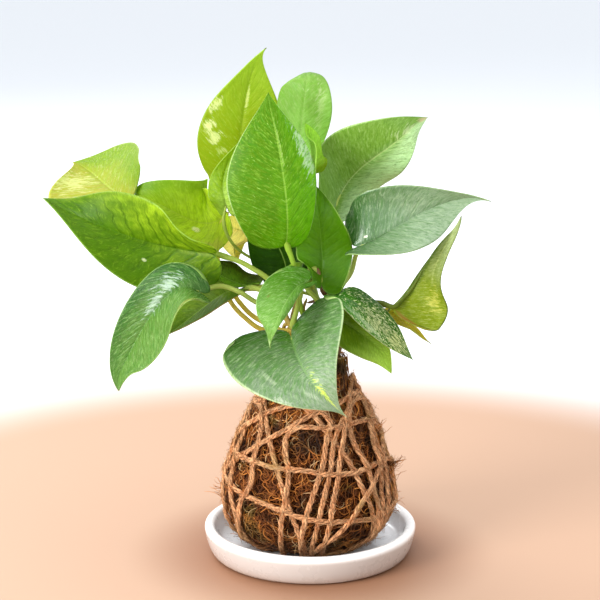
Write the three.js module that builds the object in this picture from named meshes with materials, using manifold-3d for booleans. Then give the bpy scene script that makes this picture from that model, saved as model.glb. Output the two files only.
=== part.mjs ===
import * as THREE from 'three';
import Module from 'manifold-3d';

const wasm = await Module();
wasm.setup();

// A kokedama: a golden pothos growing from a ball of soil wrapped in coconut
// coir and bound with jute twine. The ball stands on a round glazed saucer.
// All sizes are millimetres. +Z is up, -Y faces the viewer, and the origin is
// the middle of the saucer's base.

// Saucer profile, as [radius, height] from the middle of the base round to the middle of the floor
const SAUCER_PROFILE = [
  [0, 0], [56, 0], [58.2, 1], [59.8, 3.6], [61.4, 8.5], [62.4, 13.2], [62.5, 15.2], [61.6, 16.7],
  [59.6, 17.4], [57.4, 17], [56.2, 15.6], [55.4, 12], [54.2, 8], [51.8, 5.8], [48, 5], [0, 5],
];
const SAUCER_SIDES = 30;

// Outside of the coir wrap, as [height, radius, lean to the right] from the flat underside to the neck
const WRAP_RINGS = [
  [9.4, 25, -2], [11.2, 34, -2], [18, 42.4, -1.7], [27, 47, -1.2], [38, 48, -1],
  [50, 45.8, -0.8], [62, 41.6, -0.5], [74, 36.6, -0.4], [86, 30.8, -0.2], [93, 26.2, 0.3],
  [99, 21.6, 1.2], [105, 17.6, 3.4], [110.5, 12.6, 7.4], [114.5, 9.8, 10.6], [117.5, 8.6, 11.9],
];
const WRAP_SIDES = 22;
const SOIL_SIDES = 16;
const WRAP_THICKNESS = 2.6;
const NECK_BORE = 6.7;
const NECK_PATH = [[10.6, 0, 107], [11.1, 0, 112], [11.8, 0, 119.5]];
const NECK_SIDES = 12;
const NECK_STEP = 4;
const SOIL_GAP = 0.3;
const SOIL_TOP = 108;

// Jute twine: cord radius, how far its underside stays off the wrap and sways from that, and the
// step along it
const TWINE_RADIUS = 1.5;
const TWINE_LIFT = 1.5;
const TWINE_SWAY = 0.2;
const TWINE_SIDES = 4;
const TWINE_STEP = 14;
const TWINE_PASS = 7;
const BALL_CENTRE = new THREE.Vector3(0, 0, 45);
const BALL_REACH = 48;
const BALL_OUTSIDE = 90;

// Route of the twine over the ball, as [turn, climb] in degrees seen from the ball's centre.
// Turn 0 is the front and 90 the right; climb -90 is straight under the ball.
const TWINE_ROUTE = [
  [-150, 58], [-100, 62], [-61, 59], [-42, 46], [-25, 21], [-16, 1], [-10, -14], [-5, -29],
  [0, -58], [40, -74], [150, -70], [168, -45], [162, -10], [158, 25], [140, 52], [105, 60],
  [80, 54], [92, 35], [93, 16], [90, -3], [82, -25], [66, -56], [0, -76], [-100, -70], [-128, -45],
  [-125, -10], [-118, 30], [-95, 58], [-45, 66], [0, 59], [13, 49], [26, 33], [33, 19], [37, 7],
  [44, -10], [58, -45], [105, -66], [150, -62], [-165, -45], [-142, -8], [-128, 30], [-150, 56],
  [160, 60], [105, 63], [50, 60], [28, 50], [19, 40], [14, 20], [8, 1], [4, -16], [1, -31],
  [0, -58], [-30, -74], [-160, -72], [-172, -45], [-176, -5], [175, 35], [150, 56], [90, 64],
  [30, 62], [0, 57], [-21, 49], [-41, 38], [-67, 20], [-88, 0], [-100, -25], [-115, -50],
  [-150, -66], [140, -62], [112, -42], [100, -15], [96, 5], [80, 16], [48, 19], [30, 18], [12, 19],
  [-5, 22], [-25, 22], [-44, 23], [-59, 23], [-95, 20], [-135, 10], [175, -2], [130, -10],
  [95, -14], [72, -16], [39, -15], [21, -13], [1, -10], [-13, -7], [-22, -5], [-38, -2], [-57, 0],
  [-85, 6], [-120, 20], [-160, 38], [160, 52], [115, 55], [84, 48], [31, 50], [10, 50], [-12, 50],
  [-21, 44], [-20, 33], [-16, 22], [-16, 5], [-18, -9], [-24, -40], [-50, -66], [-120, -66],
  [-152, -42], [-155, -5], [-148, 30], [-128, 56], [-98, 54], [-80, 46], [-72, 33], [-68, 14],
  [-61, -4], [-56, -17], [-54, -32], [-40, -60], [60, -72], [118, -50], [124, -12], [120, 25],
  [100, 52], [62, 62], [36, 54], [28, 42], [22, 28], [18, 12], [14, -2], [10, -25], [6, -56],
];

// Stems, each as points from its foot in the soil to its top, with the radius at either end
const STEMS = {
  main: {
    points: [
      [11.8, 0.5, 84], [12.4, 0.5, 104], [14.9, 0, 117], [16.6, -1, 126],
      [15.5, -3, 138], [11.5, -6, 151], [7, -8, 160], [3, -8, 171],
    ],
    radius: [2.5, 1.7],
  },
  left: {
    points: [
      [6.6, -3, 84], [7.2, -3, 104], [9.2, -2.9, 116], [7.4, -5.8, 122],
      [-3, -12, 130], [-12, -15, 141], [-17, -14, 151], [-19.5, -12.5, 160],
    ],
    radius: [2.1, 1.7],
  },
  back: {
    points: [
      [7.6, 4, 84], [8.2, 3.8, 104], [9.6, 3.7, 117], [8, 8, 132],
      [3, 12, 152], [-2, 13, 168], [-4, 13, 180],
    ],
    radius: [2, 1.6],
  },
};
const STEM_SIDES = 7;
const STEM_GAP = 0.3;
const STEM_STEP = 7;

// Leaves. rib: the midrib, from the stalk end to the tip. face: turn and climb of the way the upper
// side looks, at the stalk end and at the tip. half: widths left and right of the midrib. fold:
// degrees each half is lifted. cup: how far the margin curls back. lobe: how far the two lobes reach
// behind the stalk end. wide: share of the length where the blade is widest. back: width across the
// lobes, as a share of the widest. sharp: how drawn out the tip is. wave: height of the margin's waves.
// drip: how far the drip tip is drawn past the midrib's end, as [x, y, z]. petiole: points the stalk
// passes on its way to the stem named, which it meets at the height given.
const LEAVES = [
  {
    name: 'leaf_tall_back',
    rib: [[-44.5, 32, 214.5], [-41, 28, 239], [-36.5, 26.5, 267.5], [-27.5, 19, 294]],
    face: [[-17, 3], [43, 0]],
    half: [25, 27], fold: [8, 10], cup: 2.5, lobe: 8,
    wide: 0.34, back: 0.64, sharp: 1.41, wave: 1,
    drip: [2.5, 0, -0.5],
    petiole: [[-37, 26, 196.5], [-23.5, 20, 182.5], [-12, 16, 176]],
    stem: 'back', height: 175,
  },
  {
    name: 'leaf_top_back',
    rib: [[-4, 16, 228], [-5.5, 19, 247], [-2.5, 13, 272.5], [-3, 42.5, 276.5]],
    face: [[-1, 21], [-11, 60]],
    half: [16.5, 16], fold: [-4, -1], cup: 4, lobe: 6.5,
    wide: 0.48, back: 0.46, sharp: 1.27, wave: 1,
    drip: [0.5, 0, -0.5],
    petiole: [[-1, 15, 207], [-2.5, 14, 190.5]],
    stem: 'back', height: 181,
  },
  {
    name: 'leaf_rolled_young',
    rib: [[1.5, -7.5, 226.5], [1.5, -11.5, 234.5], [0, -8.5, 242.5], [-3, -11, 254]],
    face: [[69, -16], [65, -51]],
    half: [9, 10.5], fold: [43, 46], cup: 2, lobe: 3,
    wide: 0.31, back: 0.72, sharp: 0.80, wave: 1,
    drip: [0, 0, 0],
    petiole: [[2, -4, 214.5], [1, 1, 201], [-2, 6, 185]],
    stem: 'back', height: 177,
  },
  {
    name: 'leaf_centre_front',
    rib: [[-13.5, -20.5, 188.5], [-13.5, -29.5, 215], [-18, -26, 244.5], [-24, -15.5, 269]],
    face: [[14, 8], [6, 2]],
    half: [31, 19], fold: [-5, -4], cup: 5.5, lobe: 5.5,
    wide: 0.43, back: 0.69, sharp: 1.13, wave: 1,
    drip: [0.5, 0, 2.5],
    petiole: [[-9.5, -19, 175.5], [-7.5, -14, 163.5], [-6, -9, 151.5], [-3, -6, 142]],
    stem: 'main', height: 134,
  },
  {
    name: 'leaf_right_upper',
    rib: [[15, 7.5, 205.5], [28, 14, 224.5], [45, -0.5, 240], [62.5, 2, 257]],
    face: [[6, -12], [15, 8]],
    half: [29, 19.5], fold: [15, -10], cup: 2, lobe: 8,
    wide: 0.40, back: 0.55, sharp: 1.05, wave: 1,
    drip: [3.5, 0, -1],
    petiole: [[17, 9, 187.5], [15.5, 3, 173]],
    stem: 'main', height: 160,
  },
  {
    name: 'leaf_right_broad',
    rib: [[27, -7.5, 184], [48, -8.5, 195], [72, -5.5, 207], [99, -8, 212]],
    face: [[-28, 51], [32, -22]],
    half: [25, 23.5], fold: [32, 31], cup: -2, lobe: 5,
    wide: 0.28, back: 0.77, sharp: 1.49, wave: 1,
    drip: [2.5, 0, -2.5],
    petiole: [[26, 5, 176], [23.5, 8, 165.5], [17.5, 4, 157.5]],
    stem: 'main', height: 148,
  },
  {
    name: 'leaf_right_folded',
    rib: [[47.5, -10, 148.5], [60.5, -1.5, 161.5], [70, -6, 180], [87, -10.5, 198.5]],
    face: [[197, -40], [133, -40]],
    half: [28, 8.5], fold: [-10, 72], cup: 3.5, lobe: 3,
    wide: 0.06, back: 0.64, sharp: 0.83, wave: 1,
    drip: [-2, 0, 3.5],
    petiole: [[38.5, -2, 150], [26.5, 1, 149]],
    stem: 'main', height: 141,
  },
  {
    name: 'leaf_small_under',
    rib: [[42.5, -2, 144], [50.5, -6, 141.5], [59, -9, 135.5], [68.5, -7.5, 128]],
    face: [[11, 62], [11, 63]],
    half: [5, 4], fold: [11, 15], cup: 1, lobe: 3,
    wide: 0.27, back: 0.72, sharp: 1.21, wave: 1,
    drip: [1, 0, -1],
    petiole: [[32, 3, 143.5], [23, 3, 141]],
    stem: 'main', height: 131,
  },
  {
    name: 'leaf_speckled',
    rib: [[14, -17, 157.5], [27.5, -20.5, 153], [41.5, -20, 139.5], [56.5, -23, 122.5]],
    face: [[22, 74], [6, 28]],
    half: [12, 14], fold: [7, 18], cup: 2, lobe: 4,
    wide: 0.33, back: 0.72, sharp: 0.97, wave: 1,
    drip: [1.5, 0, -1],
    petiole: [[11.5, -10, 157.5]],
    stem: 'main', height: 153,
  },
  {
    name: 'leaf_lime_under',
    rib: [[11, -14, 147.5], [22.5, -14, 139], [36.5, -11.5, 128], [45.5, -12, 111.5]],
    face: [[3, 37], [0, 30]],
    half: [9, 15.5], fold: [15, 15], cup: -0.5, lobe: 8,
    wide: 0.37, back: 0.72, sharp: 0.91, wave: 1,
    drip: [1, 0, -1],
    petiole: [[5.5, -14, 152.5], [-0.5, -14, 159], [-3, -12, 163]],
    stem: 'main', height: 165,
  },
  {
    name: 'leaf_drooping_front',
    rib: [[-11, -25, 135.5], [-6, -50, 127], [3, -64, 116.5], [19, -63, 100]],
    face: [[-12, 41], [15, -3]],
    half: [36, 40], fold: [27, 4], cup: -4, lobe: 12,
    wide: 0.15, back: 0.80, sharp: 1.70, wave: 1,
    drip: [0.5, 0, -0.5],
    petiole: [[-5.5, -27, 131], [1.5, -16, 126.5]],
    stem: 'left', height: 121,
  },
  {
    name: 'leaf_small_front',
    rib: [[-4.5, -31.5, 167.5], [-11.5, -43.5, 163], [-18.5, -56.5, 152], [-23, -51, 136.5]],
    face: [[-11, 46], [-37, 21]],
    half: [4, 19], fold: [13, 10], cup: 2.5, lobe: 9.5,
    wide: 0.24, back: 0.63, sharp: 1.00, wave: 1,
    drip: [0.5, 0, -1.5],
    petiole: [[-5.5, -30, 163], [-7.5, -22, 151.5]],
    stem: 'left', height: 139,
  },
  {
    name: 'leaf_young_lobe',
    rib: [[-5.5, -4.5, 162.5], [-8, -7, 165], [-12, -7, 167], [-17, -8, 169]],
    face: [[-12, 47], [-10, 41]],
    half: [7, 12], fold: [12, 11], cup: 2, lobe: 3,
    wide: 0.27, back: 0.73, sharp: 1.07, wave: 1,
    drip: [0, 0, 0],
    petiole: [[-1, -5, 163]],
    stem: 'main', height: 161,
  },
  {
    name: 'leaf_centre_right',
    rib: [[6.5, -13, 164], [6.5, -3.5, 179.5], [5, -9, 197.5], [2.5, -6.5, 216.5]],
    face: [[12, -8], [-3, -2]],
    half: [15.5, 17.5], fold: [14, 12], cup: -1.5, lobe: 8,
    wide: 0.36, back: 0.65, sharp: 0.80, wave: 1,
    drip: [-0.5, 0, 2.5],
    petiole: [[3, -10, 166], [-1, -9, 170]],
    stem: 'main', height: 170.5,
  },
  {
    name: 'leaf_left_drooping',
    rib: [[-63.5, -34.5, 164.5], [-82.5, -36, 158], [-99.5, -34.5, 131.5], [-108, -45, 115]],
    face: [[1, 52], [-12, 22]],
    half: [28, 16.5], fold: [32, 22], cup: -0.5, lobe: 8,
    wide: 0.25, back: 0.45, sharp: 0.80, wave: 1,
    drip: [1.5, 0, -5.5],
    petiole: [[-50, -20, 163.5], [-40, -17.5, 159.5], [-30, -14, 152.5]],
    stem: 'left', height: 149,
  },
  {
    name: 'leaf_left_long',
    rib: [[-57, -14, 181], [-90.5, -5.5, 185.5], [-118, -6, 195], [-152.5, 9.5, 207.5]],
    face: [[1, -22], [49, 26]],
    half: [26.5, 29], fold: [24, 33], cup: -1, lobe: 8,
    wide: 0.30, back: 0.69, sharp: 0.92, wave: 1,
    drip: [-1, 0, 1.5],
    petiole: [[-48.5, -10, 178.5], [-40, -12, 176], [-32.5, -13, 172], [-24.5, -13, 166.5]],
    stem: 'left', height: 158,
  },
  {
    name: 'leaf_left_far',
    rib: [[-104, 13.5, 207.5], [-117, 26.5, 212.5], [-128, 40, 218.5], [-141, 49.5, 225]],
    face: [[-13, 32], [-18, 69]],
    half: [36, 29], fold: [20, 21], cup: -2, lobe: 2,
    wide: 0.43, back: 0.70, sharp: 1.31, wave: 1,
    drip: [-0.5, 0, -0.5],
    petiole: [[-89.5, 26, 186.5], [-66, 25, 168.5], [-49.5, 22, 156.5], [-41, 9, 147.5],
      [-31.5, -2, 141]],
    stem: 'left', height: 130,
  },
  {
    name: 'leaf_left_middle',
    rib: [[-49.5, 12.5, 199.5], [-64.5, 19.5, 193], [-83.5, 12, 203], [-107.5, 22, 211]],
    face: [[-4, 27], [-13, 13]],
    half: [20, 26.5], fold: [12, 16], cup: 1.5, lobe: 4,
    wide: 0.28, back: 0.72, sharp: 0.97, wave: 1,
    drip: [5.5, 0, -3],
    petiole: [[-54.5, 20, 184], [-54, 20, 169.5], [-50.5, 18, 155.5], [-45.5, 8, 147],
      [-37, -2, 140.5], [-28, -9, 136]],
    stem: 'left', height: 136,
  },
  {
    name: 'leaf_behind_left',
    rib: [[-48, -1, 206.5], [-49.5, -1.5, 215.5], [-48.5, 2.5, 225], [-41, -4.5, 242]],
    face: [[-7, 0], [1, -3]],
    half: [9, 12], fold: [12, 12], cup: 2, lobe: 8,
    wide: 0.29, back: 0.72, sharp: 1.03, wave: 1,
    drip: [0, 0, 0],
    petiole: [[-49.5, 0, 197], [-46, 3, 185.5], [-35, 14, 173.5], [-20, 15, 168.5]],
    stem: 'back', height: 165,
  },
  {
    name: 'leaf_olive_under',
    rib: [[-41.5, 1, 157.5], [-52.5, -8, 155], [-65.5, -4.5, 144.5], [-81.5, -11, 133.5]],
    face: [[-3, 62], [2, 54]],
    half: [10.5, 21.5], fold: [17, 11], cup: 0.5, lobe: 3.5,
    wide: 0.28, back: 0.73, sharp: 1.02, wave: 1,
    drip: [0, 0, 0],
    petiole: [[-33.5, -4, 159], [-26.5, -8, 158]],
    stem: 'left', height: 155,
  },
  {
    name: 'leaf_dark_middle',
    rib: [[-14, 8, 163.5], [-17, 9.5, 177.5], [-24, 10, 192.5], [-27.5, 11, 207.5]],
    face: [[-13, -1], [-8, 1]],
    half: [19, 16], fold: [11, 12], cup: 2, lobe: 10,
    wide: 0.32, back: 0.72, sharp: 0.99, wave: 1,
    drip: [0, 0, 0],
    petiole: [[-10.5, 8, 159], [-6, 9, 158.5]],
    stem: 'back', height: 156,
  },
  {
    name: 'leaf_dark_left',
    rib: [[-30.5, 1, 160], [-39.5, 2.5, 160], [-51, 1.5, 165], [-63, 4, 172.5]],
    face: [[-8, 72], [-23, 28]],
    half: [4.5, 10.5], fold: [20, 9], cup: -1, lobe: 3,
    wide: 0.47, back: 0.66, sharp: 0.80, wave: 1,
    drip: [0, 0, 0],
    petiole: [[-21, 2, 159], [-12, 7, 156]],
    stem: 'back', height: 151,
  },
  {
    name: 'leaf_yellow_back',
    rib: [[-32.5, 28, 183.5], [-38.5, 32.5, 185.5], [-47, 29.5, 189], [-54, 32, 195]],
    face: [[-6, 25], [-11, 18]],
    half: [18.5, 12], fold: [13, 12], cup: 2, lobe: 3,
    wide: 0.29, back: 0.72, sharp: 1.01, wave: 1,
    drip: [0, 0, 0],
    petiole: [[-23.5, 27, 175.5], [-13, 21, 170.5]],
    stem: 'back', height: 170,
  },
];
const BLADE_THICKNESS = 0.8;
const SMALL_LEAF = 45;
const BROAD_LEAF = 60;
const DRIP_START = 0.85;
const PETIOLE_RADIUS = 1.35;
const SMALL_PETIOLE_RADIUS = 0.9;
const PETIOLE_SIDES = 5;
const PETIOLE_STEP = 11;
const PETIOLE_REACH = 0.1;
const JOIN_TOLERANCE = 0.03;

// Colours
const GLAZE = 0xf2efe9;
const COIR = 0x6b4526;
const JUTE = 0xb98a5a;
const SOIL = 0x3a2a1e;
const STEM_COLOURS = { main: 0x7a5632, left: 0x9a8a3c, back: 0x7f9440 };
const LEAF_COLOURS = {
  leaf_tall_back: 0xa3bd2c, leaf_top_back: 0x7fbf4a, leaf_rolled_young: 0x9fbe2a,
  leaf_centre_front: 0x4f9a1c, leaf_right_upper: 0x5f8f3a, leaf_right_broad: 0x5c8560,
  leaf_right_folded: 0x9a9a30, leaf_small_under: 0xc49a2a, leaf_speckled: 0x3d7a2a,
  leaf_lime_under: 0x86b024, leaf_drooping_front: 0x5b8f55, leaf_small_front: 0x5fae3c,
  leaf_young_lobe: 0x8cc44a, leaf_centre_right: 0x4c8f1e, leaf_left_drooping: 0x4f9440,
  leaf_left_long: 0x6c9f20, leaf_left_far: 0xb5cc4a, leaf_left_middle: 0x86ad2c,
  leaf_behind_left: 0x8fb32c, leaf_olive_under: 0x6b7a24, leaf_dark_middle: 0x2f5a1a,
  leaf_dark_left: 0x3a3f1c, leaf_yellow_back: 0xd0a83a,
};

const vec = ([x, y, z]) => new THREE.Vector3(x, y, z);
const radians = (degrees) => THREE.MathUtils.degToRad(degrees);

// Closed body from points and triangles, turned the right way out
function solid(points, triangles) {
  let volume = 0;
  for (const [a, b, c] of triangles) {
    volume += points[a].dot(points[b].clone().cross(points[c]));
  }
  const turned = volume < 0 ? triangles.map(([a, b, c]) => [a, c, b]) : triangles;
  return new wasm.Manifold(new wasm.Mesh({
    numProp: 3,
    vertProperties: new Float32Array(points.flatMap((p) => [p.x, p.y, p.z])),
    triVerts: new Uint32Array(turned.flat()),
  }));
}

// Closed tube through rings of points, with flat ends
function ringsToSolid(rings) {
  const sides = rings[0].length;
  const points = rings.flat();
  const triangles = [];
  for (let i = 0; i < rings.length - 1; i++) {
    for (let k = 0; k < sides; k++) {
      const a = i * sides + k;
      const b = i * sides + ((k + 1) % sides);
      triangles.push([a, b, b + sides], [a, b + sides, a + sides]);
    }
  }
  const last = (rings.length - 1) * sides;
  for (let k = 1; k < sides - 1; k++) {
    triangles.push([0, k + 1, k], [last, last + k, last + k + 1]);
  }
  return solid(points, triangles);
}

// Tapered round tube along a smooth curve through the points
function tube(points, startRadius, endRadius, sides, step) {
  const curve = new THREE.CatmullRomCurve3(points, false, 'centripetal');
  const count = Math.max(3, Math.round(curve.getLength() / step));
  const frames = curve.computeFrenetFrames(count, false);
  const rings = [];
  for (let i = 0; i <= count; i++) {
    const centre = curve.getPointAt(i / count);
    const radius = THREE.MathUtils.lerp(startRadius, endRadius, i / count);
    rings.push(Array.from({ length: sides }, (_, k) => {
      const turn = (2 * Math.PI * k) / sides;
      return centre.clone()
        .addScaledVector(frames.normals[i], radius * Math.cos(turn))
        .addScaledVector(frames.binormals[i], radius * Math.sin(turn));
    }));
  }
  return ringsToSolid(rings);
}

// Body turned round the Z axis from a profile that starts and ends on the axis
function turned(profile, sides) {
  const inner = profile.slice(1, -1);
  const rings = inner.map(([radius, height]) => Array.from({ length: sides }, (_, k) => {
    const turn = (2 * Math.PI * k) / sides;
    return new THREE.Vector3(radius * Math.cos(turn), radius * Math.sin(turn), height);
  }));
  const points = rings.flat();
  const first = points.push(new THREE.Vector3(0, 0, profile[0][1])) - 1;
  const last = points.push(new THREE.Vector3(0, 0, profile[profile.length - 1][1])) - 1;
  const triangles = [];
  for (let k = 0; k < sides; k++) {
    const next = (k + 1) % sides;
    for (let i = 0; i < rings.length - 1; i++) {
      const a = i * sides + k;
      const b = i * sides + next;
      triangles.push([a, b, b + sides], [a, b + sides, a + sides]);
    }
    const top = (rings.length - 1) * sides;
    triangles.push([first, next, k], [last, top + k, top + next]);
  }
  return solid(points, triangles);
}

// Radius and lean of the wrap at a height
function wrapAt(height) {
  const rings = WRAP_RINGS;
  const i = THREE.MathUtils.clamp(rings.findIndex((ring) => ring[0] >= height), 1, rings.length - 1);
  const [h0, r0, x0] = rings[i - 1];
  const [h1, r1, x1] = rings[i];
  const share = THREE.MathUtils.clamp((height - h0) / (h1 - h0), 0, 1);
  return { radius: THREE.MathUtils.lerp(r0, r1, share), lean: THREE.MathUtils.lerp(x0, x1, share) };
}

// Rings of the wrap's form, taken in by an inset and kept between two heights
function wrapRings(inset, bottom, top, sides) {
  const heights = WRAP_RINGS.map((ring) => ring[0]).filter((h) => h > bottom + 1 && h < top - 1);
  return [bottom, ...heights, top].map((height) => {
    const { radius, lean } = wrapAt(height);
    return Array.from({ length: sides }, (_, k) => {
      const turn = (2 * Math.PI * k) / sides;
      const r = Math.max(radius - inset, 3);
      return new THREE.Vector3(lean + r * Math.cos(turn), r * Math.sin(turn), height);
    });
  });
}

// How far a point lies outside the wrap, negative inside it
function outsideWrap(p) {
  const { radius, lean } = wrapAt(p.z);
  const sideways = Math.hypot(p.x - lean, p.y) - radius;
  return Math.max(sideways, WRAP_RINGS[0][0] - p.z, p.z - WRAP_RINGS.at(-1)[0]);
}

// Point of the twine's middle line in a direction from the ball's centre, with its underside lifted
// off the wrap, and the way straight out there
function twinePoint(direction, lift) {
  let near = 0;
  let far = BALL_OUTSIDE;
  for (let i = 0; i < 24; i++) {
    const middle = (near + far) / 2;
    const inside = outsideWrap(BALL_CENTRE.clone().addScaledVector(direction, middle)) < 0;
    near = inside ? middle : near;
    far = inside ? far : middle;
  }
  const surface = BALL_CENTRE.clone().addScaledVector(direction, near);
  const reach = 2;
  const slope = (axis) => outsideWrap(surface.clone().addScaledVector(axis, reach))
    - outsideWrap(surface.clone().addScaledVector(axis, -reach));
  const out = vec([slope(vec([1, 0, 0])), slope(vec([0, 1, 0])), slope(vec([0, 0, 1]))]).normalize();
  return { centre: surface.addScaledVector(out, lift + TWINE_RADIUS), out };
}

// The whole twine: short lengths in a row, joined end to end and where they cross
function makeTwine() {
  const directions = TWINE_ROUTE.map(([turn, climb]) => new THREE.Vector3(
    Math.sin(radians(turn)) * Math.cos(radians(climb)),
    -Math.cos(radians(turn)) * Math.cos(radians(climb)),
    Math.sin(radians(climb)),
  ));
  const curve = new THREE.CatmullRomCurve3(directions, false, 'centripetal');
  curve.arcLengthDivisions = 2000;
  const path = curve.getSpacedPoints(Math.round((curve.getLength() * BALL_REACH) / TWINE_STEP));
  const stops = path.map((p, i) => twinePoint(p.normalize(), TWINE_LIFT + TWINE_SWAY * Math.sin(i)));
  const rings = stops.map(({ centre, out }, i) => {
    const before = stops[Math.max(i - 1, 0)].centre;
    const after = stops[Math.min(i + 1, stops.length - 1)].centre;
    const along = after.clone().sub(before).normalize();
    const side = along.clone().cross(out).normalize();
    const up = side.clone().cross(along);
    return Array.from({ length: TWINE_SIDES }, (_, k) => {
      const turn = (2 * Math.PI * (k + 0.5)) / TWINE_SIDES;
      return centre.clone()
        .addScaledVector(up, -TWINE_RADIUS * Math.cos(turn))
        .addScaledVector(side, TWINE_RADIUS * Math.sin(turn));
    });
  });
  const lengths = [];
  for (let i = 0; i < rings.length - 1; i += TWINE_PASS) {
    lengths.push(ringsToSolid(rings.slice(i, Math.min(i + TWINE_PASS + 1, rings.length))));
  }
  const whole = wasm.Manifold.union(lengths).simplify(JOIN_TOLERANCE).decompose();
  return whole.sort((a, b) => b.volume() - a.volume())[0];
}

// Midrib through its four points, and the way it runs
function midrib(leaf) {
  const points = leaf.rib.map(vec);
  const at = (s) => {
    const weights = [
      -4.5 * (s - 1 / 3) * (s - 2 / 3) * (s - 1), 13.5 * s * (s - 2 / 3) * (s - 1),
      -13.5 * s * (s - 1 / 3) * (s - 1), 4.5 * s * (s - 1 / 3) * (s - 2 / 3),
    ];
    return points.reduce((sum, p, i) => sum.addScaledVector(p, weights[i]), new THREE.Vector3());
  };
  const along = (s) => at(s + 0.001).sub(at(s - 0.001)).normalize();
  let length = 0;
  for (let i = 0; i < 30; i++) {
    length += at((i + 1) / 30).distanceTo(at(i / 30));
  }
  return { at, along, length };
}

// The way the upper side looks, from its turn and climb
function facing([turn, climb]) {
  return new THREE.Vector3(
    Math.sin(radians(turn)) * Math.cos(radians(climb)),
    -Math.cos(radians(turn)) * Math.cos(radians(climb)),
    Math.sin(radians(climb)),
  );
}

// Half width along the leaf, as a share of the widest
function widthShare(leaf, v) {
  if (v < leaf.wide) {
    return leaf.back + (1 - leaf.back) * Math.sin((Math.PI / 2) * (v / leaf.wide));
  }
  return (1 - ((v - leaf.wide) / (1 - leaf.wide)) ** 1.9) ** leaf.sharp;
}

// One point of the blade's middle surface: u runs across from -1 to 1, v along it from lobes to tip
function bladePoint(leaf, rib, u, v) {
  const across = Math.abs(u);
  const share = widthShare(leaf, v);
  const half = u < 0 ? leaf.half[0] : leaf.half[1];
  const x = u * share * half;
  const behind = leaf.lobe * Math.sqrt(Math.max(0, 1 - (2 * across ** 0.9 - 1) ** 2)) * (1 - v) ** 2;
  const y = v - behind / rib.length;
  const s = THREE.MathUtils.clamp(y, 0, 1);
  const along = rib.along(s);
  const centre = rib.at(s).addScaledVector(along, Math.min(y, 0) * rib.length);
  const look = facing(leaf.face[0]).lerp(facing(leaf.face[1]), s);
  look.addScaledVector(along, -look.dot(along)).normalize();
  const side = along.clone().cross(look);
  const fold = radians(u < 0 ? leaf.fold[0] : leaf.fold[1]) * (1 - 0.25 * v);
  const curl = -leaf.cup * across ** 2.2 * share;
  const phase = u < 0 ? 0 : 1.7;
  const wave = leaf.wave * Math.sin(3 * Math.PI * v + phase) * across ** 2 * Math.min(1, share * 1.5);
  const drawn = Math.max(0, (v - DRIP_START) / (1 - DRIP_START)) ** 2.5;
  return centre.addScaledVector(side, x * Math.cos(fold))
    .addScaledVector(look, Math.abs(x) * Math.sin(fold) + curl + wave)
    .addScaledVector(vec(leaf.drip), drawn);
}

// The blade as a thin body: two faces split alike into triangles, joined round the margin
function blade(leaf, rib) {
  const columns = rib.length < BROAD_LEAF ? 6 : 8;
  const rows = rib.length < SMALL_LEAF ? 6 : 8;
  const h = 0.01;
  const faces = [[], []];
  for (let j = 0; j <= rows; j++) {
    for (let i = 0; i <= (j === rows ? 0 : columns); i++) {
      const u = j === rows ? 0 : (2 * i) / columns - 1;
      const v = j === rows ? 1 : j / rows;
      const centre = bladePoint(leaf, rib, u, v);
      const inner = THREE.MathUtils.clamp(u, -0.9, 0.9);
      const low = THREE.MathUtils.clamp(v, 0.08, 0.92);
      const du = bladePoint(leaf, rib, inner + h, low).sub(bladePoint(leaf, rib, inner - h, low));
      const dv = bladePoint(leaf, rib, inner, low + h).sub(bladePoint(leaf, rib, inner, low - h));
      const up = du.cross(dv).normalize();
      faces[0].push(centre.clone().addScaledVector(up, BLADE_THICKNESS / 2));
      faces[1].push(centre.clone().addScaledVector(up, -BLADE_THICKNESS / 2));
    }
  }
  const wide = columns + 1;
  const tip = rows * wide;
  const count = tip + 1;
  const triangles = [];
  const both = (a, b, c) => triangles.push([a, b, c], [a + count, c + count, b + count]);
  for (let j = 0; j < rows - 1; j++) {
    for (let i = 0; i < columns; i++) {
      const a = j * wide + i;
      const left = i < columns / 2;
      both(a, a + 1, left ? a + wide : a + 1 + wide);
      both(left ? a + 1 : a, a + 1 + wide, a + wide);
    }
  }
  const lastRow = (rows - 1) * wide;
  for (let i = 0; i < columns; i++) {
    both(lastRow + i, lastRow + i + 1, tip);
  }
  const margin = [];
  for (let i = 0; i < columns; i++) margin.push(i);
  for (let j = 0; j < rows; j++) margin.push(j * wide + columns);
  margin.push(tip);
  for (let j = rows - 1; j > 0; j--) margin.push(j * wide);
  margin.forEach((a, i) => {
    const b = margin[(i + 1) % margin.length];
    triangles.push([a, a + count, b + count], [a, b + count, b]);
  });
  return solid([...faces[0], ...faces[1]], triangles);
}

// Middle line of a stem
function stemCurve(name) {
  return new THREE.CatmullRomCurve3(STEMS[name].points.map(vec), false, 'centripetal');
}

// Point on a stem's middle line at a height
function stemPoint(name, height) {
  const curve = stemCurve(name);
  let low = 0;
  let high = 1;
  for (let i = 0; i < 24; i++) {
    const middle = (low + high) / 2;
    if (curve.getPoint(middle).z < height) low = middle;
    else high = middle;
  }
  return curve.getPoint(low);
}

function stemSolid(name, extra) {
  const { radius } = STEMS[name];
  return tube(stemCurve(name).points, radius[0] + extra, radius[1] + extra, STEM_SIDES, STEM_STEP);
}

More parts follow.
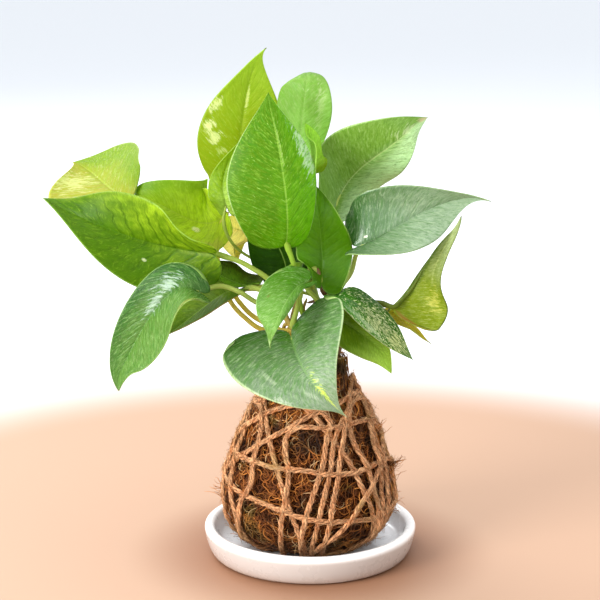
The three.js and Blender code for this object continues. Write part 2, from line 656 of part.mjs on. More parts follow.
// A leaf: its blade, and its stalk from under the blade to a hair's breadth off its stem
function makeLeaf(leaf, stemRoom) {
  const rib = midrib(leaf);
  const radius = rib.length < SMALL_LEAF ? SMALL_PETIOLE_RADIUS : PETIOLE_RADIUS;
  const look = facing(leaf.face[0]);
  const under = (s, depth) => {
    const along = rib.along(s);
    const down = look.clone().addScaledVector(along, -look.dot(along)).normalize();
    return rib.at(s).addScaledVector(down, -depth);
  };
  const foot = stemPoint(leaf.stem, leaf.height);
  const head = [under(PETIOLE_REACH, radius * 0.55), under(0, radius * 0.7)];
  const path = [...head, ...leaf.petiole.map(vec), foot];
  const stalk = tube(path, radius * 0.75, radius, PETIOLE_SIDES, PETIOLE_STEP);
  return blade(leaf, rib).add(stalk).subtract(stemRoom).simplify(JOIN_TOLERANCE);
}

// Mesh with its own material
function mesh(name, body, color, roughness, metalness = 0) {
  const { vertProperties, triVerts } = body.getMesh();
  const geometry = new THREE.BufferGeometry();
  geometry.setAttribute('position', new THREE.BufferAttribute(new Float32Array(vertProperties), 3));
  geometry.setIndex(new THREE.BufferAttribute(new Uint32Array(triVerts), 1));
  geometry.computeVertexNormals();
  const material = new THREE.MeshStandardMaterial({ color, roughness, metalness });
  const result = new THREE.Mesh(geometry, material);
  result.name = name;
  return result;
}

const group = new THREE.Group();
group.name = 'kokedama_moss_ball_plant';

// Saucer
group.add(mesh('saucer', turned(SAUCER_PROFILE, SAUCER_SIDES), GLAZE, 0.15));

// Coir wrap: the ball's skin, hollow and open at the neck
const bottom = WRAP_RINGS[0][0];
const top = WRAP_RINGS.at(-1)[0];
const bore = tube(NECK_PATH.map(vec), NECK_BORE, NECK_BORE, NECK_SIDES, NECK_STEP);
const hollow = ringsToSolid(
  wrapRings(WRAP_THICKNESS, bottom + WRAP_THICKNESS, SOIL_TOP + SOIL_GAP, WRAP_SIDES),
);
const wrap = ringsToSolid(wrapRings(0, bottom, top, WRAP_SIDES)).subtract(hollow).subtract(bore);
group.add(mesh('coir_wrap', wrap, COIR, 0.95));

// Twine
group.add(mesh('jute_twine', makeTwine(), JUTE, 0.9));

// Stems and the soil ball they stand in
const stemNames = Object.keys(STEMS);
const stemRoom = wasm.Manifold.union(stemNames.map((name) => stemSolid(name, STEM_GAP)));
const soil = ringsToSolid(
  wrapRings(WRAP_THICKNESS + 3 * SOIL_GAP, bottom + WRAP_THICKNESS + SOIL_GAP, SOIL_TOP, SOIL_SIDES),
).subtract(stemRoom);
group.add(mesh('root_ball', soil, SOIL, 1));
for (const name of stemNames) {
  group.add(mesh(`stem_${name}`, stemSolid(name, 0), STEM_COLOURS[name], 0.6));
}

// Leaves
for (const leaf of LEAVES) {
  group.add(mesh(leaf.name, makeLeaf(leaf, stemRoom), LEAF_COLOURS[leaf.name], 0.4));
}

export default group;
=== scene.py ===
# %% [markdown]
# # A pothos growing from a ball of coir
# The photograph shows a golden pothos whose roots sit in a ball of soil. The ball is wrapped in brown
# coconut fibre, bound with jute twine, and stands on a white glazed saucer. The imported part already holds
# every piece at its true size and place. This lesson dresses the pieces one by one: first the camera and
# the light, then the saucer, the ball, the twine, the stems and the leaves.

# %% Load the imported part
import math

import bpy
import numpy as np
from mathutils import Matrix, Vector, noise


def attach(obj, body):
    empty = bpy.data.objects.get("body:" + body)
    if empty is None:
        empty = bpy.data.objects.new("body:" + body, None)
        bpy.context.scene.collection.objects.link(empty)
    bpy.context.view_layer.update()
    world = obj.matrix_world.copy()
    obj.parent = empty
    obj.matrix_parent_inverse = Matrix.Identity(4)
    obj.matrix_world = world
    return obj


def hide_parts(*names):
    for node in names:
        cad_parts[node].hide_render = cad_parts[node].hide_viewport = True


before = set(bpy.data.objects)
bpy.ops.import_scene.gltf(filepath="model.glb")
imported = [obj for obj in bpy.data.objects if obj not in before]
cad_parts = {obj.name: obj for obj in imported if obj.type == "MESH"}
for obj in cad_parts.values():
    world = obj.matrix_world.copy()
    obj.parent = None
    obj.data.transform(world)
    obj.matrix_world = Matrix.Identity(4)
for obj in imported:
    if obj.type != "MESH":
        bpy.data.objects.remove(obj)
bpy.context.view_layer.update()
MM = 0.001
print("pieces in the part:", len(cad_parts))

# %% [markdown]
# ## Camera
# The picture was taken from the front, a little above the plant. The round rim of the saucer looks like an
# ellipse there, and its height against its width gives the angle: 12.4 degrees downwards. A long lens far
# away keeps the leaves in front from looking too large.

# %% Set the camera
CAMERA_PLACE, CAMERA_PITCH = (-0.006, -0.9, 0.349), 12.4
LENS, SENSOR_WIDTH = 96, 36
bpy.ops.object.camera_add(location=CAMERA_PLACE, rotation=(math.radians(90 - CAMERA_PITCH), 0, 0))
camera = bpy.context.object
camera.name = "Camera"
camera.data.lens, camera.data.sensor_width, camera.data.clip_start = LENS, SENSOR_WIDTH, 0.01
bpy.context.scene.camera = camera
print("camera looks down by", CAMERA_PITCH, "degrees")

# %% [markdown]
# ## Shader helpers
# Each material below is a small net of shader nodes. The helpers add a node, set its values and link what
# is already there, so that a net reads like a recipe.

# %% Helpers for colours and shader nodes
def paint(code):
    """Linear colour from a six digit colour code, as painters' charts give it."""
    parts = [int(code[i:i + 2], 16) / 255 for i in (1, 3, 5)]
    return tuple(c / 12.92 if c < 0.04045 else ((c + 0.055) / 1.055) ** 2.4 for c in parts) + (1,)


def feed(net, shader, inputs):
    """Fills inputs of a node. A value that is a socket is linked, and any other is set."""
    for name, value in inputs.items():
        if isinstance(value, bpy.types.NodeSocket):
            net.links.new(value, shader.inputs[name])
        else:
            shader.inputs[name].default_value = value


def add(net, kind, inputs=None, **settings):
    """Adds a shader node with its settings and inputs."""
    shader = net.nodes.new("ShaderNode" + kind)
    for name, value in settings.items():
        setattr(shader, name, value)
    feed(net, shader, inputs or {})
    return shader


def maths(net, operation, *values, clamp=False):
    """One step of arithmetic on values that change over the surface."""
    return add(net, "Math", dict(enumerate(values)), operation=operation, use_clamp=clamp).outputs[0]


def vector_maths(net, operation, *values):
    """One step of arithmetic on places or directions."""
    step = add(net, "VectorMath", dict(enumerate(values)), operation=operation)
    return step.outputs["Value" if operation == "LENGTH" else 0]


def blend(net, share, low, high):
    """Colour that goes from low to high as the share goes from 0 to 1."""
    return add(net, "Mix", {0: share, 6: low, 7: high}, data_type="RGBA").outputs[2]


def tint(net, body, colour, mask, strength=None):
    """Lays a colour over the body where the mask says, as strongly as asked."""
    share = mask if strength is None else maths(net, "MULTIPLY", mask, strength)
    return blend(net, share, body, paint(colour))


def ramp(net, value, start, end, low=0.0, high=1.0):
    """Soft step of a value between two levels."""
    levels = {0: value, 1: start, 2: end, 3: low, 4: high}
    return add(net, "MapRange", levels, interpolation_type="SMOOTHSTEP").outputs[0]


def noisy(net, vector, scale, detail, roughness=0.5, distortion=0.0):
    """A cloudy value round a half that follows a place, a UV map or a direction."""
    return add(net, "TexNoise", {
        "Vector": vector, "Scale": scale, "Detail": detail, "Roughness": roughness,
        "Distortion": distortion}).outputs["Fac"]


def height_over_foot(net, place):
    return add(net, "SeparateXYZ", {0: place}).outputs["Z"]


def point_value(net, name):
    """A number that the points of a piece carry."""
    return add(net, "Attribute", attribute_name=name, attribute_type="GEOMETRY").outputs["Fac"]


def emboss(net, shader, height, strength, distance):
    """Bumps the surface by a value, over a distance in metres."""
    bump = add(net, "Bump", {"Height": height, "Strength": strength, "Distance": distance})
    feed(net, shader, {"Normal": bump.outputs[0]})


def new_material(name):
    """A material, its net, its main shader, and the place on the object that patterns follow."""
    material = bpy.data.materials.new(name)
    material.use_nodes = True
    net = material.node_tree
    return material, net, net.nodes["Principled BSDF"], add(net, "TexCoord").outputs["Object"]


def new_group(name, inputs, outputs):
    """An empty shader group with named sockets, and its two end nodes."""
    group = bpy.data.node_groups.new(name, "ShaderNodeTree")
    for socket, kind, value in inputs:
        made = group.interface.new_socket(socket, in_out="INPUT", socket_type="NodeSocket" + kind)
        if value is not None:
            made.default_value = value
    for socket, kind in outputs:
        group.interface.new_socket(socket, in_out="OUTPUT", socket_type="NodeSocket" + kind)
    return group, group.nodes.new("NodeGroupInput"), group.nodes.new("NodeGroupOutput")


def use_group(net, group, inputs):
    """Places a shader group in a net."""
    return add(net, "Group", inputs, node_tree=group)


print("helpers are ready")

# %% [markdown]
# ## Floor and light
# The plant stands on a plain pale floor: warmer in colour near the saucer, with a painted shadow that is
# darkest right round the saucer, and white further off, so that the leaves stand out clearly. The light is
# that of a bright room: a pale sky all round, a wide window behind the plant on the left, which shines
# through the thin leaves, a soft lamp overhead, a smaller and stronger one in front on the left for the shine
# on the waxy leaves, and a faint one in front on the right that opens the shadows.

# %% Floor
FLOOR_DROP, FLOOR_RADIUS = 0.0003, 14
SHADE_ENDS, WARM_ENDS = (0.058, 0.115), (0.30, 0.50)
bpy.ops.object.select_all(action="DESELECT")
bpy.ops.mesh.primitive_circle_add(
    vertices=96, radius=FLOOR_RADIUS, fill_type="NGON", location=(0, 0, -FLOOR_DROP)
)
floor = bpy.context.object
floor.name = "Floor"
floor_paint, net, shader, place = new_material("floor_paint")
away = vector_maths(net, "LENGTH", place)
# Painted shadow: the floor turns darker and browner right round the saucer's foot.
shadowed_floor = blend(net, ramp(net, away, *SHADE_ENDS), paint("#8f6448"), paint("#b28f76"))
whole = tint(net, shadowed_floor, "#eef0f4", ramp(net, away, *WARM_ENDS))
feed(net, shader, {"Base Color": whole, "Roughness": 0.6})
floor.data.materials.append(floor_paint)
print("floor radius", FLOOR_RADIUS, "m")

# %% Lights
def softbox(name, place, aim, size, watts):
    """A square lamp that faces the point it is aimed at."""
    bpy.ops.object.light_add(type="AREA", location=place)
    lamp = bpy.context.object
    lamp.name = name
    lamp.rotation_euler = (Vector(aim) - Vector(place)).to_track_quat("-Z", "Y").to_euler()
    lamp.data.size, lamp.data.energy = size, watts


softbox("Window_light", (-1.2, 1.1, 1.5), (0, 0, 0.18), 1.4, 32)
softbox("Top_light", (-0.1, 0.0, 1.9), (0, 0, 0.15), 1.8, 19)
softbox("Left_front_light", (-1.6, -1.3, 0.8), (-0.05, 0, 0.12), 0.9, 60)
softbox("Front_light", (0.5, -1.9, 0.9), (0, 0, 0.12), 1.6, 8)
sky = bpy.context.scene.world or bpy.data.worlds.new("Sky")
bpy.context.scene.world = sky
sky.use_nodes = True
feed(sky.node_tree, sky.node_tree.nodes["Background"], {"Color": (0.93, 0.965, 1.0, 1), "Strength": 1.04})
bpy.context.scene.view_settings.view_transform = "Standard"

# %% [markdown]
# ## From a maker's object to a finished piece
# Every new piece is finished the same way: it gets its name and material, rides on the part's body, and
# stands in for the plain piece of the imported part, which is hidden.

# %% Finish a piece
def start_clean():
    """Back to object mode with nothing selected, because an operator acts on all that is selected."""
    if bpy.context.object and bpy.context.object.mode != "OBJECT":
        bpy.ops.object.mode_set(mode="OBJECT")
    bpy.ops.object.select_all(action="DESELECT")


def finish_piece(piece, name, node, material):
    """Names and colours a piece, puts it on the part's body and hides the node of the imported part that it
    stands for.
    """
    piece.name = piece.data.name = name
    piece.data.materials.clear()
    piece.data.materials.append(material)
    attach(piece, "root")
    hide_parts(node)
    faces = sum(len(p.vertices) - 2 for p in piece.data.polygons)
    print(f"{name}: {faces} triangles")


def apply_all(piece):
    """Applies every modifier of a piece, in order."""
    start_clean()
    piece.select_set(True)
    bpy.context.view_layer.objects.active = piece
    for name in [m.name for m in piece.modifiers]:
        bpy.ops.object.modifier_apply(modifier=name)


print("finishing helpers are ready")

# %% [markdown]
# ## Saucer
# The saucer is thrown clay under a thick white glaze: a flat foot, a low wall that leans out a little and a
# fat round rim. It could be spun from a profile. Here a flat disc is drawn up ring by ring with extrude
# and resize, as clay is drawn up on a wheel, and Subdivision Surface rounds the rings off.

# %% Draw up the saucer
FOOT_RADIUS = 55.8
SAUCER_RINGS = [
    (57.4, 0.35), (58.6, 1.4), (59.9, 3.8), (61.5, 8.5), (62.4, 12.6), (62.6, 14.8), (62.0, 16.5),
    (60.6, 17.4), (58.9, 17.5), (57.3, 16.9), (56.2, 15.4), (55.3, 11.8), (54.2, 8.2), (52.4, 6.2),
    (49.0, 5.2), (40.0, 5.0), (20.0, 5.0),
]
start_clean()
bpy.ops.mesh.primitive_circle_add(vertices=72, radius=FOOT_RADIUS * MM, fill_type="NGON", location=(0, 0, 0))
saucer = bpy.context.object
bpy.ops.object.mode_set(mode="EDIT")
bpy.ops.mesh.select_all(action="SELECT")
bpy.ops.mesh.inset(thickness=3 * MM)
bpy.ops.mesh.select_all(action="DESELECT")
bpy.ops.mesh.select_mode(type="EDGE")
bpy.ops.mesh.select_non_manifold(
    extend=False, use_wire=False, use_multi_face=False, use_non_contiguous=False
)
ring_radius, ring_height = FOOT_RADIUS, 0.0
for radius, height in SAUCER_RINGS:
    bpy.ops.mesh.extrude_region_move(TRANSFORM_OT_translate={"value": (0, 0, (height - ring_height) * MM)})
    grow = radius / ring_radius
    bpy.ops.transform.resize(value=(grow, grow, 1))
    ring_radius, ring_height = radius, height
bpy.ops.mesh.edge_face_add()
bpy.ops.mesh.inset(thickness=4 * MM)
bpy.ops.mesh.select_all(action="SELECT")
bpy.ops.mesh.normals_make_consistent(inside=False)
bpy.ops.object.mode_set(mode="OBJECT")
rounding = saucer.modifiers.new("rounding", "SUBSURF")
rounding.levels = rounding.render_levels = 2
apply_all(saucer)

# %% [markdown]
# A hand-glazed saucer is never quite true: the wall swells and dips by a few tenths of a millimetre, and
# the glaze lies thicker in some places. The points move by a slow seeded noise, so that its shine
# breaks up softly.

# %% Give the clay its unevenness
def shift_by_noise(piece, scale, depth, keep_foot=None):
    """Moves points along their normals by smooth noise; scale is in bumps a metre and depth in metres."""
    for vertex in piece.data.vertices:
        if keep_foot is None or vertex.co.z > keep_foot:
            vertex.co += vertex.normal * noise.noise(vertex.co * scale) * depth


shift_by_noise(saucer, 34, 0.25 * MM, keep_foot=1.5 * MM)
bpy.ops.object.shade_smooth()
print("saucer is", round(max(v.co.z for v in saucer.data.vertices) / MM, 1), "mm high")

# %% Shared groups: mottling and flecks
mottle_group, ends_in, ends_out = new_group(
    "mottle", [("Vector", "Vector", None), ("Scale", "Float", 20.0), ("Contrast", "Float", 1.0)],
    [("Mask", "Float")],
)
net, given = mottle_group, ends_in.outputs
centred = maths(net, "SUBTRACT", noisy(net, given["Vector"], given["Scale"], 5.0, 0.6), 0.5)
spread = maths(net, "MULTIPLY", centred, given["Contrast"])
feed(net, ends_out, {"Mask": maths(net, "ADD", spread, 0.5, clamp=True)})

fleck_group, ends_in, ends_out = new_group(
    "flecks", [("Vector", "Vector", None), ("Scale", "Float", 100.0), ("Size", "Float", 0.15),
               ("Share", "Float", 0.2)],
    [("Mask", "Float")],
)
net, given = fleck_group, ends_in.outputs
cells = add(net, "TexVoronoi", {"Vector": given["Vector"], "Scale": given["Scale"]})
dot = maths(net, "LESS_THAN", cells.outputs["Distance"], given["Size"])
chosen = add(net, "SeparateColor", {0: cells.outputs["Color"]}).outputs[0]
kept = maths(net, "LESS_THAN", chosen, given["Share"])
feed(net, ends_out, {"Mask": maths(net, "MULTIPLY", dot, kept)})


def mottle(net, vector, scale, contrast):
    """Soft clouds from 0 to 1: scale says how many there are, and contrast how hard they part."""
    return use_group(net, mottle_group, {"Vector": vector, "Scale": scale, "Contrast": contrast}).outputs[0]


def shifted(net, place, move):
    """The place moved, so that one pattern doesn't lie on another."""
    return add(net, "Mapping", {"Vector": place, "Location": move}).outputs[0]


print("groups:", mottle_group.name, fleck_group.name)

# %% [markdown]
# ### Glaze
# The glaze is off-white, with a few tiny iron specks. Below the rim the outside is painted greyer, as painted
# shade, and warmer near the foot, as painted shade tinted by light thrown up from the floor. Inside, the tray
# is painted almost pure white, as painted light where the ball shades it, and it is a little darker round the
# foot of the ball. A clear coat carries the sharp shine, and the body under it stays softer.

# %% Glaze the saucer
glaze, net, shader, place = new_material("white_glaze")
height = height_over_foot(net, place)
cloud = mottle(net, place, 38.0, 0.7)
body = blend(net, cloud, paint("#f2ece8"), paint("#f9f6f3"))
reach = vector_maths(net, "LENGTH", vector_maths(net, "MULTIPLY", place, (1, 1, 0)))
inside = maths(net, "MULTIPLY", ramp(net, reach, 0.0575, 0.0535), ramp(net, height, 0.003, 0.0045))
outside = maths(net, "SUBTRACT", 1.0, inside)
# Painted shade: the outside wall below the rim is greyed.
body = tint(net, body, "#bdb4ae", outside, ramp(net, height, 0.0168, 0.0130, 0.0, 0.95))
# Painted shade near the foot of the outside wall, tinted by light thrown up from the floor.
body = tint(net, body, "#b49d8c", outside, ramp(net, height, 0.008, 0.0, 0.0, 0.5))
# Painted light: the tray inside is whitened where the ball shades it.
body = tint(net, body, "#fbfafc", inside, 0.95)
# A little darker round the foot of the ball.
near_ball_foot = maths(net, "MULTIPLY", inside, ramp(net, reach, 0.046, 0.026))
body = tint(net, body, "#8d7a68", near_ball_foot, 0.45)
specks = use_group(net, fleck_group, {"Vector": place, "Scale": 150.0, "Size": 0.07, "Share": 0.05})
body = tint(net, body, "#6d5a48", specks.outputs[0], 0.7)
uneven = ramp(net, mottle(net, place, 90.0, 1.0), 0.2, 0.8, 0.22, 0.36)
feed(net, shader, {"Base Color": body, "Roughness": uneven, "Coat Weight": 0.6, "Coat Roughness": 0.08})
emboss(net, shader, cloud, 0.12, 0.0006)
finish_piece(saucer, "Saucer", "saucer", glaze)

# %% [markdown]
# ## The ball
# The ball is a pear shape: wide and heavy low down, drawn up to a short neck where the stems come out. Its
# outline is a list of rings, each a height, a radius and a small lean to the right. A sphere primitive has
# the right layout of faces for it, so each of its points is moved onto the outline.

# %% Outline of the ball
WRAP_RINGS = np.array([
    (9.4, 25, -2), (11.2, 34, -2), (18, 42.4, -1.7), (27, 47, -1.2), (38, 48, -1), (50, 45.8, -0.8),
    (62, 41.6, -0.5), (74, 36.6, -0.4), (86, 30.8, -0.2), (93, 26.2, 0.3), (99, 21.6, 1.2), (105, 17.6, 3.4),
    (110.5, 12.6, 7.4), (114.5, 9.8, 10.6), (117.5, 8.6, 11.9),
])
BALL_CENTRE = np.array([0, 0, 45.0])


def unit(vectors):
    lengths = np.linalg.norm(vectors, axis=-1, keepdims=True)
    return vectors / np.maximum(lengths, 1e-9)


def wrap_at(height):
    """Radius and lean of the ball at each height, in millimetres."""
    return (np.interp(height, WRAP_RINGS[:, 0], WRAP_RINGS[:, 1]),
            np.interp(height, WRAP_RINGS[:, 0], WRAP_RINGS[:, 2]))


def outside_wrap(points):
    """How far each point lies outside the ball; negative inside it."""
    radius, lean = wrap_at(points[..., 2])
    sideways = np.hypot(points[..., 0] - lean, points[..., 1]) - radius
    return np.maximum(sideways, np.maximum(WRAP_RINGS[0, 0] - points[..., 2],
                                           points[..., 2] - WRAP_RINGS[-1, 0]))


def wrap_surface(directions):
    """Where rays from the ball's centre leave it, and the way straight out there."""
    near, far = np.zeros(directions.shape[:-1]), np.full(directions.shape[:-1], 90.0)
    for _ in range(22):
        middle = (near + far) / 2
        inside = outside_wrap(BALL_CENTRE + directions * middle[..., None]) < 0
        near, far = np.where(inside, middle, near), np.where(inside, far, middle)
    surface = BALL_CENTRE + directions * near[..., None]
    slope = [outside_wrap(surface + step) - outside_wrap(surface - step) for step in np.eye(3) * 2]
    return surface, unit(np.stack(slope, -1))


print("ball is", 2 * WRAP_RINGS[:, 1].max(), "mm wide")

# %% Shape the ball
FELT_DEPTH = 1.2
start_clean()
bpy.ops.mesh.primitive_uv_sphere_add(segments=96, ring_count=72, radius=1, location=(0, 0, 0))
ball = bpy.context.object
unit_points = np.array([vertex.co for vertex in ball.data.vertices])
surface, outward = wrap_surface(unit(unit_points))
sunk = surface - outward * FELT_DEPTH
for vertex, place in zip(ball.data.vertices, sunk):
    vertex.co = Vector(place) * MM
ball.data.update()
shift_by_noise(ball, 140, 1.3 * MM)
shift_by_noise(ball, 420, 0.7 * MM)
bpy.ops.object.shade_smooth()
print("ball stands from", round(sunk[:, 2].min(), 1), "to", round(sunk[:, 2].max(), 1), "mm")

# %% [markdown]
# ### Coconut fibre
# Coir is a felt of stiff brown hairs. From a step away the eye sees single hairs that catch the light over
# dark hollows: geometry gives that, and clouds of hairs painted near black, as painted shade, deepen the
# hollows. The ground under them is nearly black-brown; on it lie thousands of thin bent tubes, each a great
# circle that wanders off its course.

# %% Ground colour under the fibres
coir_ground, net, shader, place = new_material("coir_ground")
strands = noisy(net, place, 900.0, 3.0, distortion=1.6)
dark = blend(net, mottle(net, place, 55.0, 2.2), paint("#140902"), paint("#351a06"))
body = tint(net, dark, "#6b3a12", ramp(net, strands, 0.52, 0.72))
feed(net, shader, {"Base Color": body, "Roughness": 0.95, "Specular IOR Level": 0.15})
emboss(net, shader, strands, 0.9, 0.0012)
print("ground colour is ready")

# %% Skin tubes round many paths at once
def skin_tubes(paths, ups, radii, sides):
    """Closed tubes round paths of equal point count, as points, faces, UVs for the faces' corners and the
    number of the path that each point belongs to. All sizes are in millimetres."""
    count, steps = paths.shape[:2]
    along = unit(np.gradient(paths, axis=1))
    side = unit(np.cross(along, ups))
    up = np.cross(side, along)
    angles = 2 * math.pi * np.arange(sides)[:, None] / sides
    rim = side[:, :, None] * np.cos(angles) + up[:, :, None] * np.sin(angles)
    points = paths[:, :, None] + rim * radii[:, :, None, None]
    first = np.arange(count)[:, None, None] * steps * sides
    ring = np.arange(steps - 1)[None, :, None] * sides
    spot = np.arange(sides)[None, None, :]
    here, beside = first + ring + spot, first + ring + (spot + 1) % sides
    quads = np.stack([here, beside, beside + sides, here + sides], -1).reshape(-1, 4)
    far = np.concatenate([np.zeros((count, 1)), np.cumsum(
        np.linalg.norm(np.diff(paths, axis=1), axis=-1), axis=1)], axis=1)
    low, high, left, right = np.broadcast_arrays(
        far[:, :-1, None], far[:, 1:, None], spot / sides, (spot + 1) / sides)
    corner_uvs = np.stack([np.stack(pair, -1) for pair in (
        (left, low), (right, low), (right, high), (left, high))], -2).reshape(-1, 2)
    corner_uvs = np.concatenate([corner_uvs, np.zeros((2 * count * sides, 2))])
    bases = np.arange(count) * steps * sides
    ends = [list(base + np.arange(sides)[::-1]) for base in bases]
    ends += [list(base + (steps - 1) * sides + np.arange(sides)) for base in bases]
    owner = np.repeat(np.arange(count), steps * sides)
    return points.reshape(-1, 3), quads.tolist() + ends, corner_uvs, owner


def mark_points(mesh, name, values):
    """Gives each point of a mesh a number that its material can read."""
    mark = mesh.attributes.new(name, "FLOAT", "POINT")
    mark.data.foreach_set("value", values.astype(np.float32))


def tube_piece(name, skinned, values=None):
    """A mesh object from skinned tubes, with a UV map and one number for each tube, called tone."""
    points, faces, corner_uvs, owner = skinned
    mesh = bpy.data.meshes.new(name)
    mesh.from_pydata((points * MM).tolist(), [], faces)
    layer = mesh.uv_layers.new(name="UVMap")
    layer.data.foreach_set("uv", corner_uvs.astype(np.float32).ravel())
    if values is not None:
        mark_points(mesh, "tone", values[owner])
    mesh.polygons.foreach_set("use_smooth", np.ones(len(mesh.polygons), bool))
    mesh.update()
    piece = bpy.data.objects.new(name, mesh)
    bpy.context.scene.collection.objects.link(piece)
    return piece


def join_into(main, *others):
    """Joins other objects into the first one."""
    start_clean()
    for piece in (*others, main):
        piece.select_set(True)
    bpy.context.view_layer.objects.active = main
    bpy.ops.object.join()
    return main


print("tubes can be skinned")

# %% Lay the fibres
FIBRE_POINTS, FIBRE_SIDES = 8, 3
FIBRE_TAPER = np.array([0.5, 0.9, 1, 1, 1, 1, 0.8, 0.35])
SAUCER_CLEAR, SAUCER_INSIDE, LOW, BALL_RADIUS = 5.5, 50, 20, 48
draw = np.random.default_rng(11)


def fibre_paths(count, lengths, lift, curl, arch, stray=0.0):
    """Paths that curl over the ball at their own height above it, as points and outward ways."""
    starts = unit(draw.normal(size=(count, 3)) * (1, 1, 1.4))
    starts[:, 2] = np.where(starts[:, 2] < -0.75, -starts[:, 2], starts[:, 2])
    headings = unit(np.cross(starts, draw.normal(size=(count, 3))))
    aside = np.cross(starts, headings)
    share = np.linspace(0, 1, FIBRE_POINTS)[None, :]
    wiggle = 0.6 * np.sin(share * draw.uniform(3, 9, (count, 1)) + draw.uniform(0, 6, (count, 1)))
    turn = draw.normal(0, curl, (count, 1)) * share + wiggle
    step = lengths[:, None] / (FIBRE_POINTS - 1) / BALL_RADIUS
    ahead, sideways = np.cumsum(np.cos(turn), 1) * step, np.cumsum(np.sin(turn), 1) * step
    ways = starts[:, None] + headings[:, None] * ahead[..., None] + aside[:, None] * sideways[..., None]
    surface, out = wrap_surface(unit(ways))
    bow = arch * np.sin(np.pi * share)
    rise = draw.uniform(*lift, (count, 1)) + bow * draw.uniform(0, 1, (count, 1))
    rise = rise + stray * share ** 2 * draw.uniform(0.2, 1, (count, 1))
    points = surface + out * rise[..., None]
    points[..., 2] = np.maximum(points[..., 2], SAUCER_CLEAR)
    across = np.hypot(points[..., 0], points[..., 1])
    outer = (points[..., 2] < LOW) & (across > SAUCER_INSIDE)
    points[..., :2] *= np.where(outer, SAUCER_INSIDE / np.maximum(across, 1), 1)[..., None]
    return points, out


def lay_fibres(name, count, length, radius, tone, **course):
    """One kind of fibre. Length, radius and tone are each drawn between two values."""
    paths, outs = fibre_paths(count, draw.uniform(*length, count), **course)
    thick = draw.uniform(*radius, (count, 1)) * FIBRE_TAPER
    return tube_piece(name, skin_tubes(paths, outs, thick, FIBRE_SIDES), draw.uniform(*tone, count))


felt = lay_fibres("Coir_felt", 4300, (8, 26), (0.12, 0.26), (0, 0.6), lift=(-0.9, 0.9), curl=1.6, arch=0.5)
curls = lay_fibres("Coir_curls", 3100, (5, 17), (0.16, 0.34), (0.3, 1), lift=(0.0, 1.4), curl=2.6, arch=1.4)
loose = lay_fibres("Loose_fibres", 240, (7, 18), (0.09, 0.17), (0.3, 1), lift=(0.5, 2.0), curl=2.2, arch=1,
                   stray=8.0)
print("fibres:", sum(len(o.data.vertices) for o in (felt, curls, loose)) // (FIBRE_POINTS * FIBRE_SIDES))

# %% [markdown]
# Here and there a tuft has worked loose and stands off the ball. A row gives its place on the ball as a turn
# and a climb in degrees, the way that it points, and its count, length and rise.

# %% Add the tufts
TUFTS = [
    (-47, -17, (1, -0.2, 0.05), 16, 10, 0.6), (90, -24, (0.9, -0.3, 0.3), 14, 8, 1),
    (86, 6, (0.7, -0.3, 0.8), 15, 11, 4), (-88, -10, (-0.7, -0.4, 0.6), 9, 9, 3),
    (78, 38, (0.6, -0.2, 0.8), 5, 9, 3), (20, -34, (1, 0, 0.15), 10, 12, 0.6),
]
TUFT_TAPER = np.array([1, 1, 1, 1, 1, 0.9, 0.7, 0.4])


def facing(turn, climb):
    """A direction: turn 0 is towards the viewer, and climb is upwards, in degrees."""
    turn, climb = math.radians(turn), math.radians(climb)
    return np.array([math.sin(turn) * math.cos(climb), -math.cos(turn) * math.cos(climb), math.sin(climb)])


tuft_paths, tuft_outs = [], []
for turn, climb, way, count, length, rise in TUFTS:
    root, out = wrap_surface(unit(facing(turn, climb) + draw.normal(0, 0.035, (count, 3))))
    share = np.linspace(0, 1, FIBRE_POINTS)[None, :, None]
    path = root[:, None] + unit(np.array(way, float)) * share * length * draw.uniform(0.5, 1.1, (count, 1, 1))
    path = path + out[:, None] * (1.8 + rise * share ** 1.5 * draw.uniform(0.3, 1, (count, 1, 1)))
    swing = draw.uniform(3, 8, (count, 1, 1)) * share + draw.uniform(0, 6, (count, 1, 1))
    sides = unit(np.cross(draw.normal(size=(count, 1, 3)), np.array(way, float)))
    path = path + sides * np.sin(swing) * 1.9 * share ** 0.6
    path = path + np.cumsum(draw.normal(0, 0.3, (count, FIBRE_POINTS, 3)), 1)
    path[..., 2] = np.maximum(path[..., 2], SAUCER_CLEAR)
    tuft_paths.append(path)
    tuft_outs.append(np.broadcast_to(out[:, None], path.shape))
tuft_paths, tuft_outs = np.concatenate(tuft_paths), np.concatenate(tuft_outs)
tuft_thick = draw.uniform(0.11, 0.22, (len(tuft_paths), 1)) * TUFT_TAPER
tuft_tone = draw.uniform(0.74, 0.92, len(tuft_paths))
tufts = tube_piece("Tufts", skin_tubes(tuft_paths, tuft_outs, tuft_thick, FIBRE_SIDES), tuft_tone)
curls = join_into(curls, loose, tufts)
print("fibres in tufts:", len(tuft_paths))

# %% Colour the fibres
coir_fibre, net, shader, place = new_material("coir_fibre")
tone = point_value(net, "tone")
rusty = blend(net, ramp(net, tone, 0.25, 0.75), paint("#301400"), paint("#96561a"))
rusty = tint(net, rusty, "#d68c3e", ramp(net, tone, 0.66, 0.88))
rusty = tint(net, rusty, "#dfbb86", ramp(net, tone, 0.91, 0.97))
rusty = tint(net, rusty, "#b4601c", mottle(net, place, 34.0, 3.2), 0.4)
mossy = mottle(net, shifted(net, place, (0.4, 0.2, 0.7)), 46.0, 3.6)
rusty = tint(net, rusty, "#565218", ramp(net, mossy, 0.62, 0.95, 0.0, 0.5))
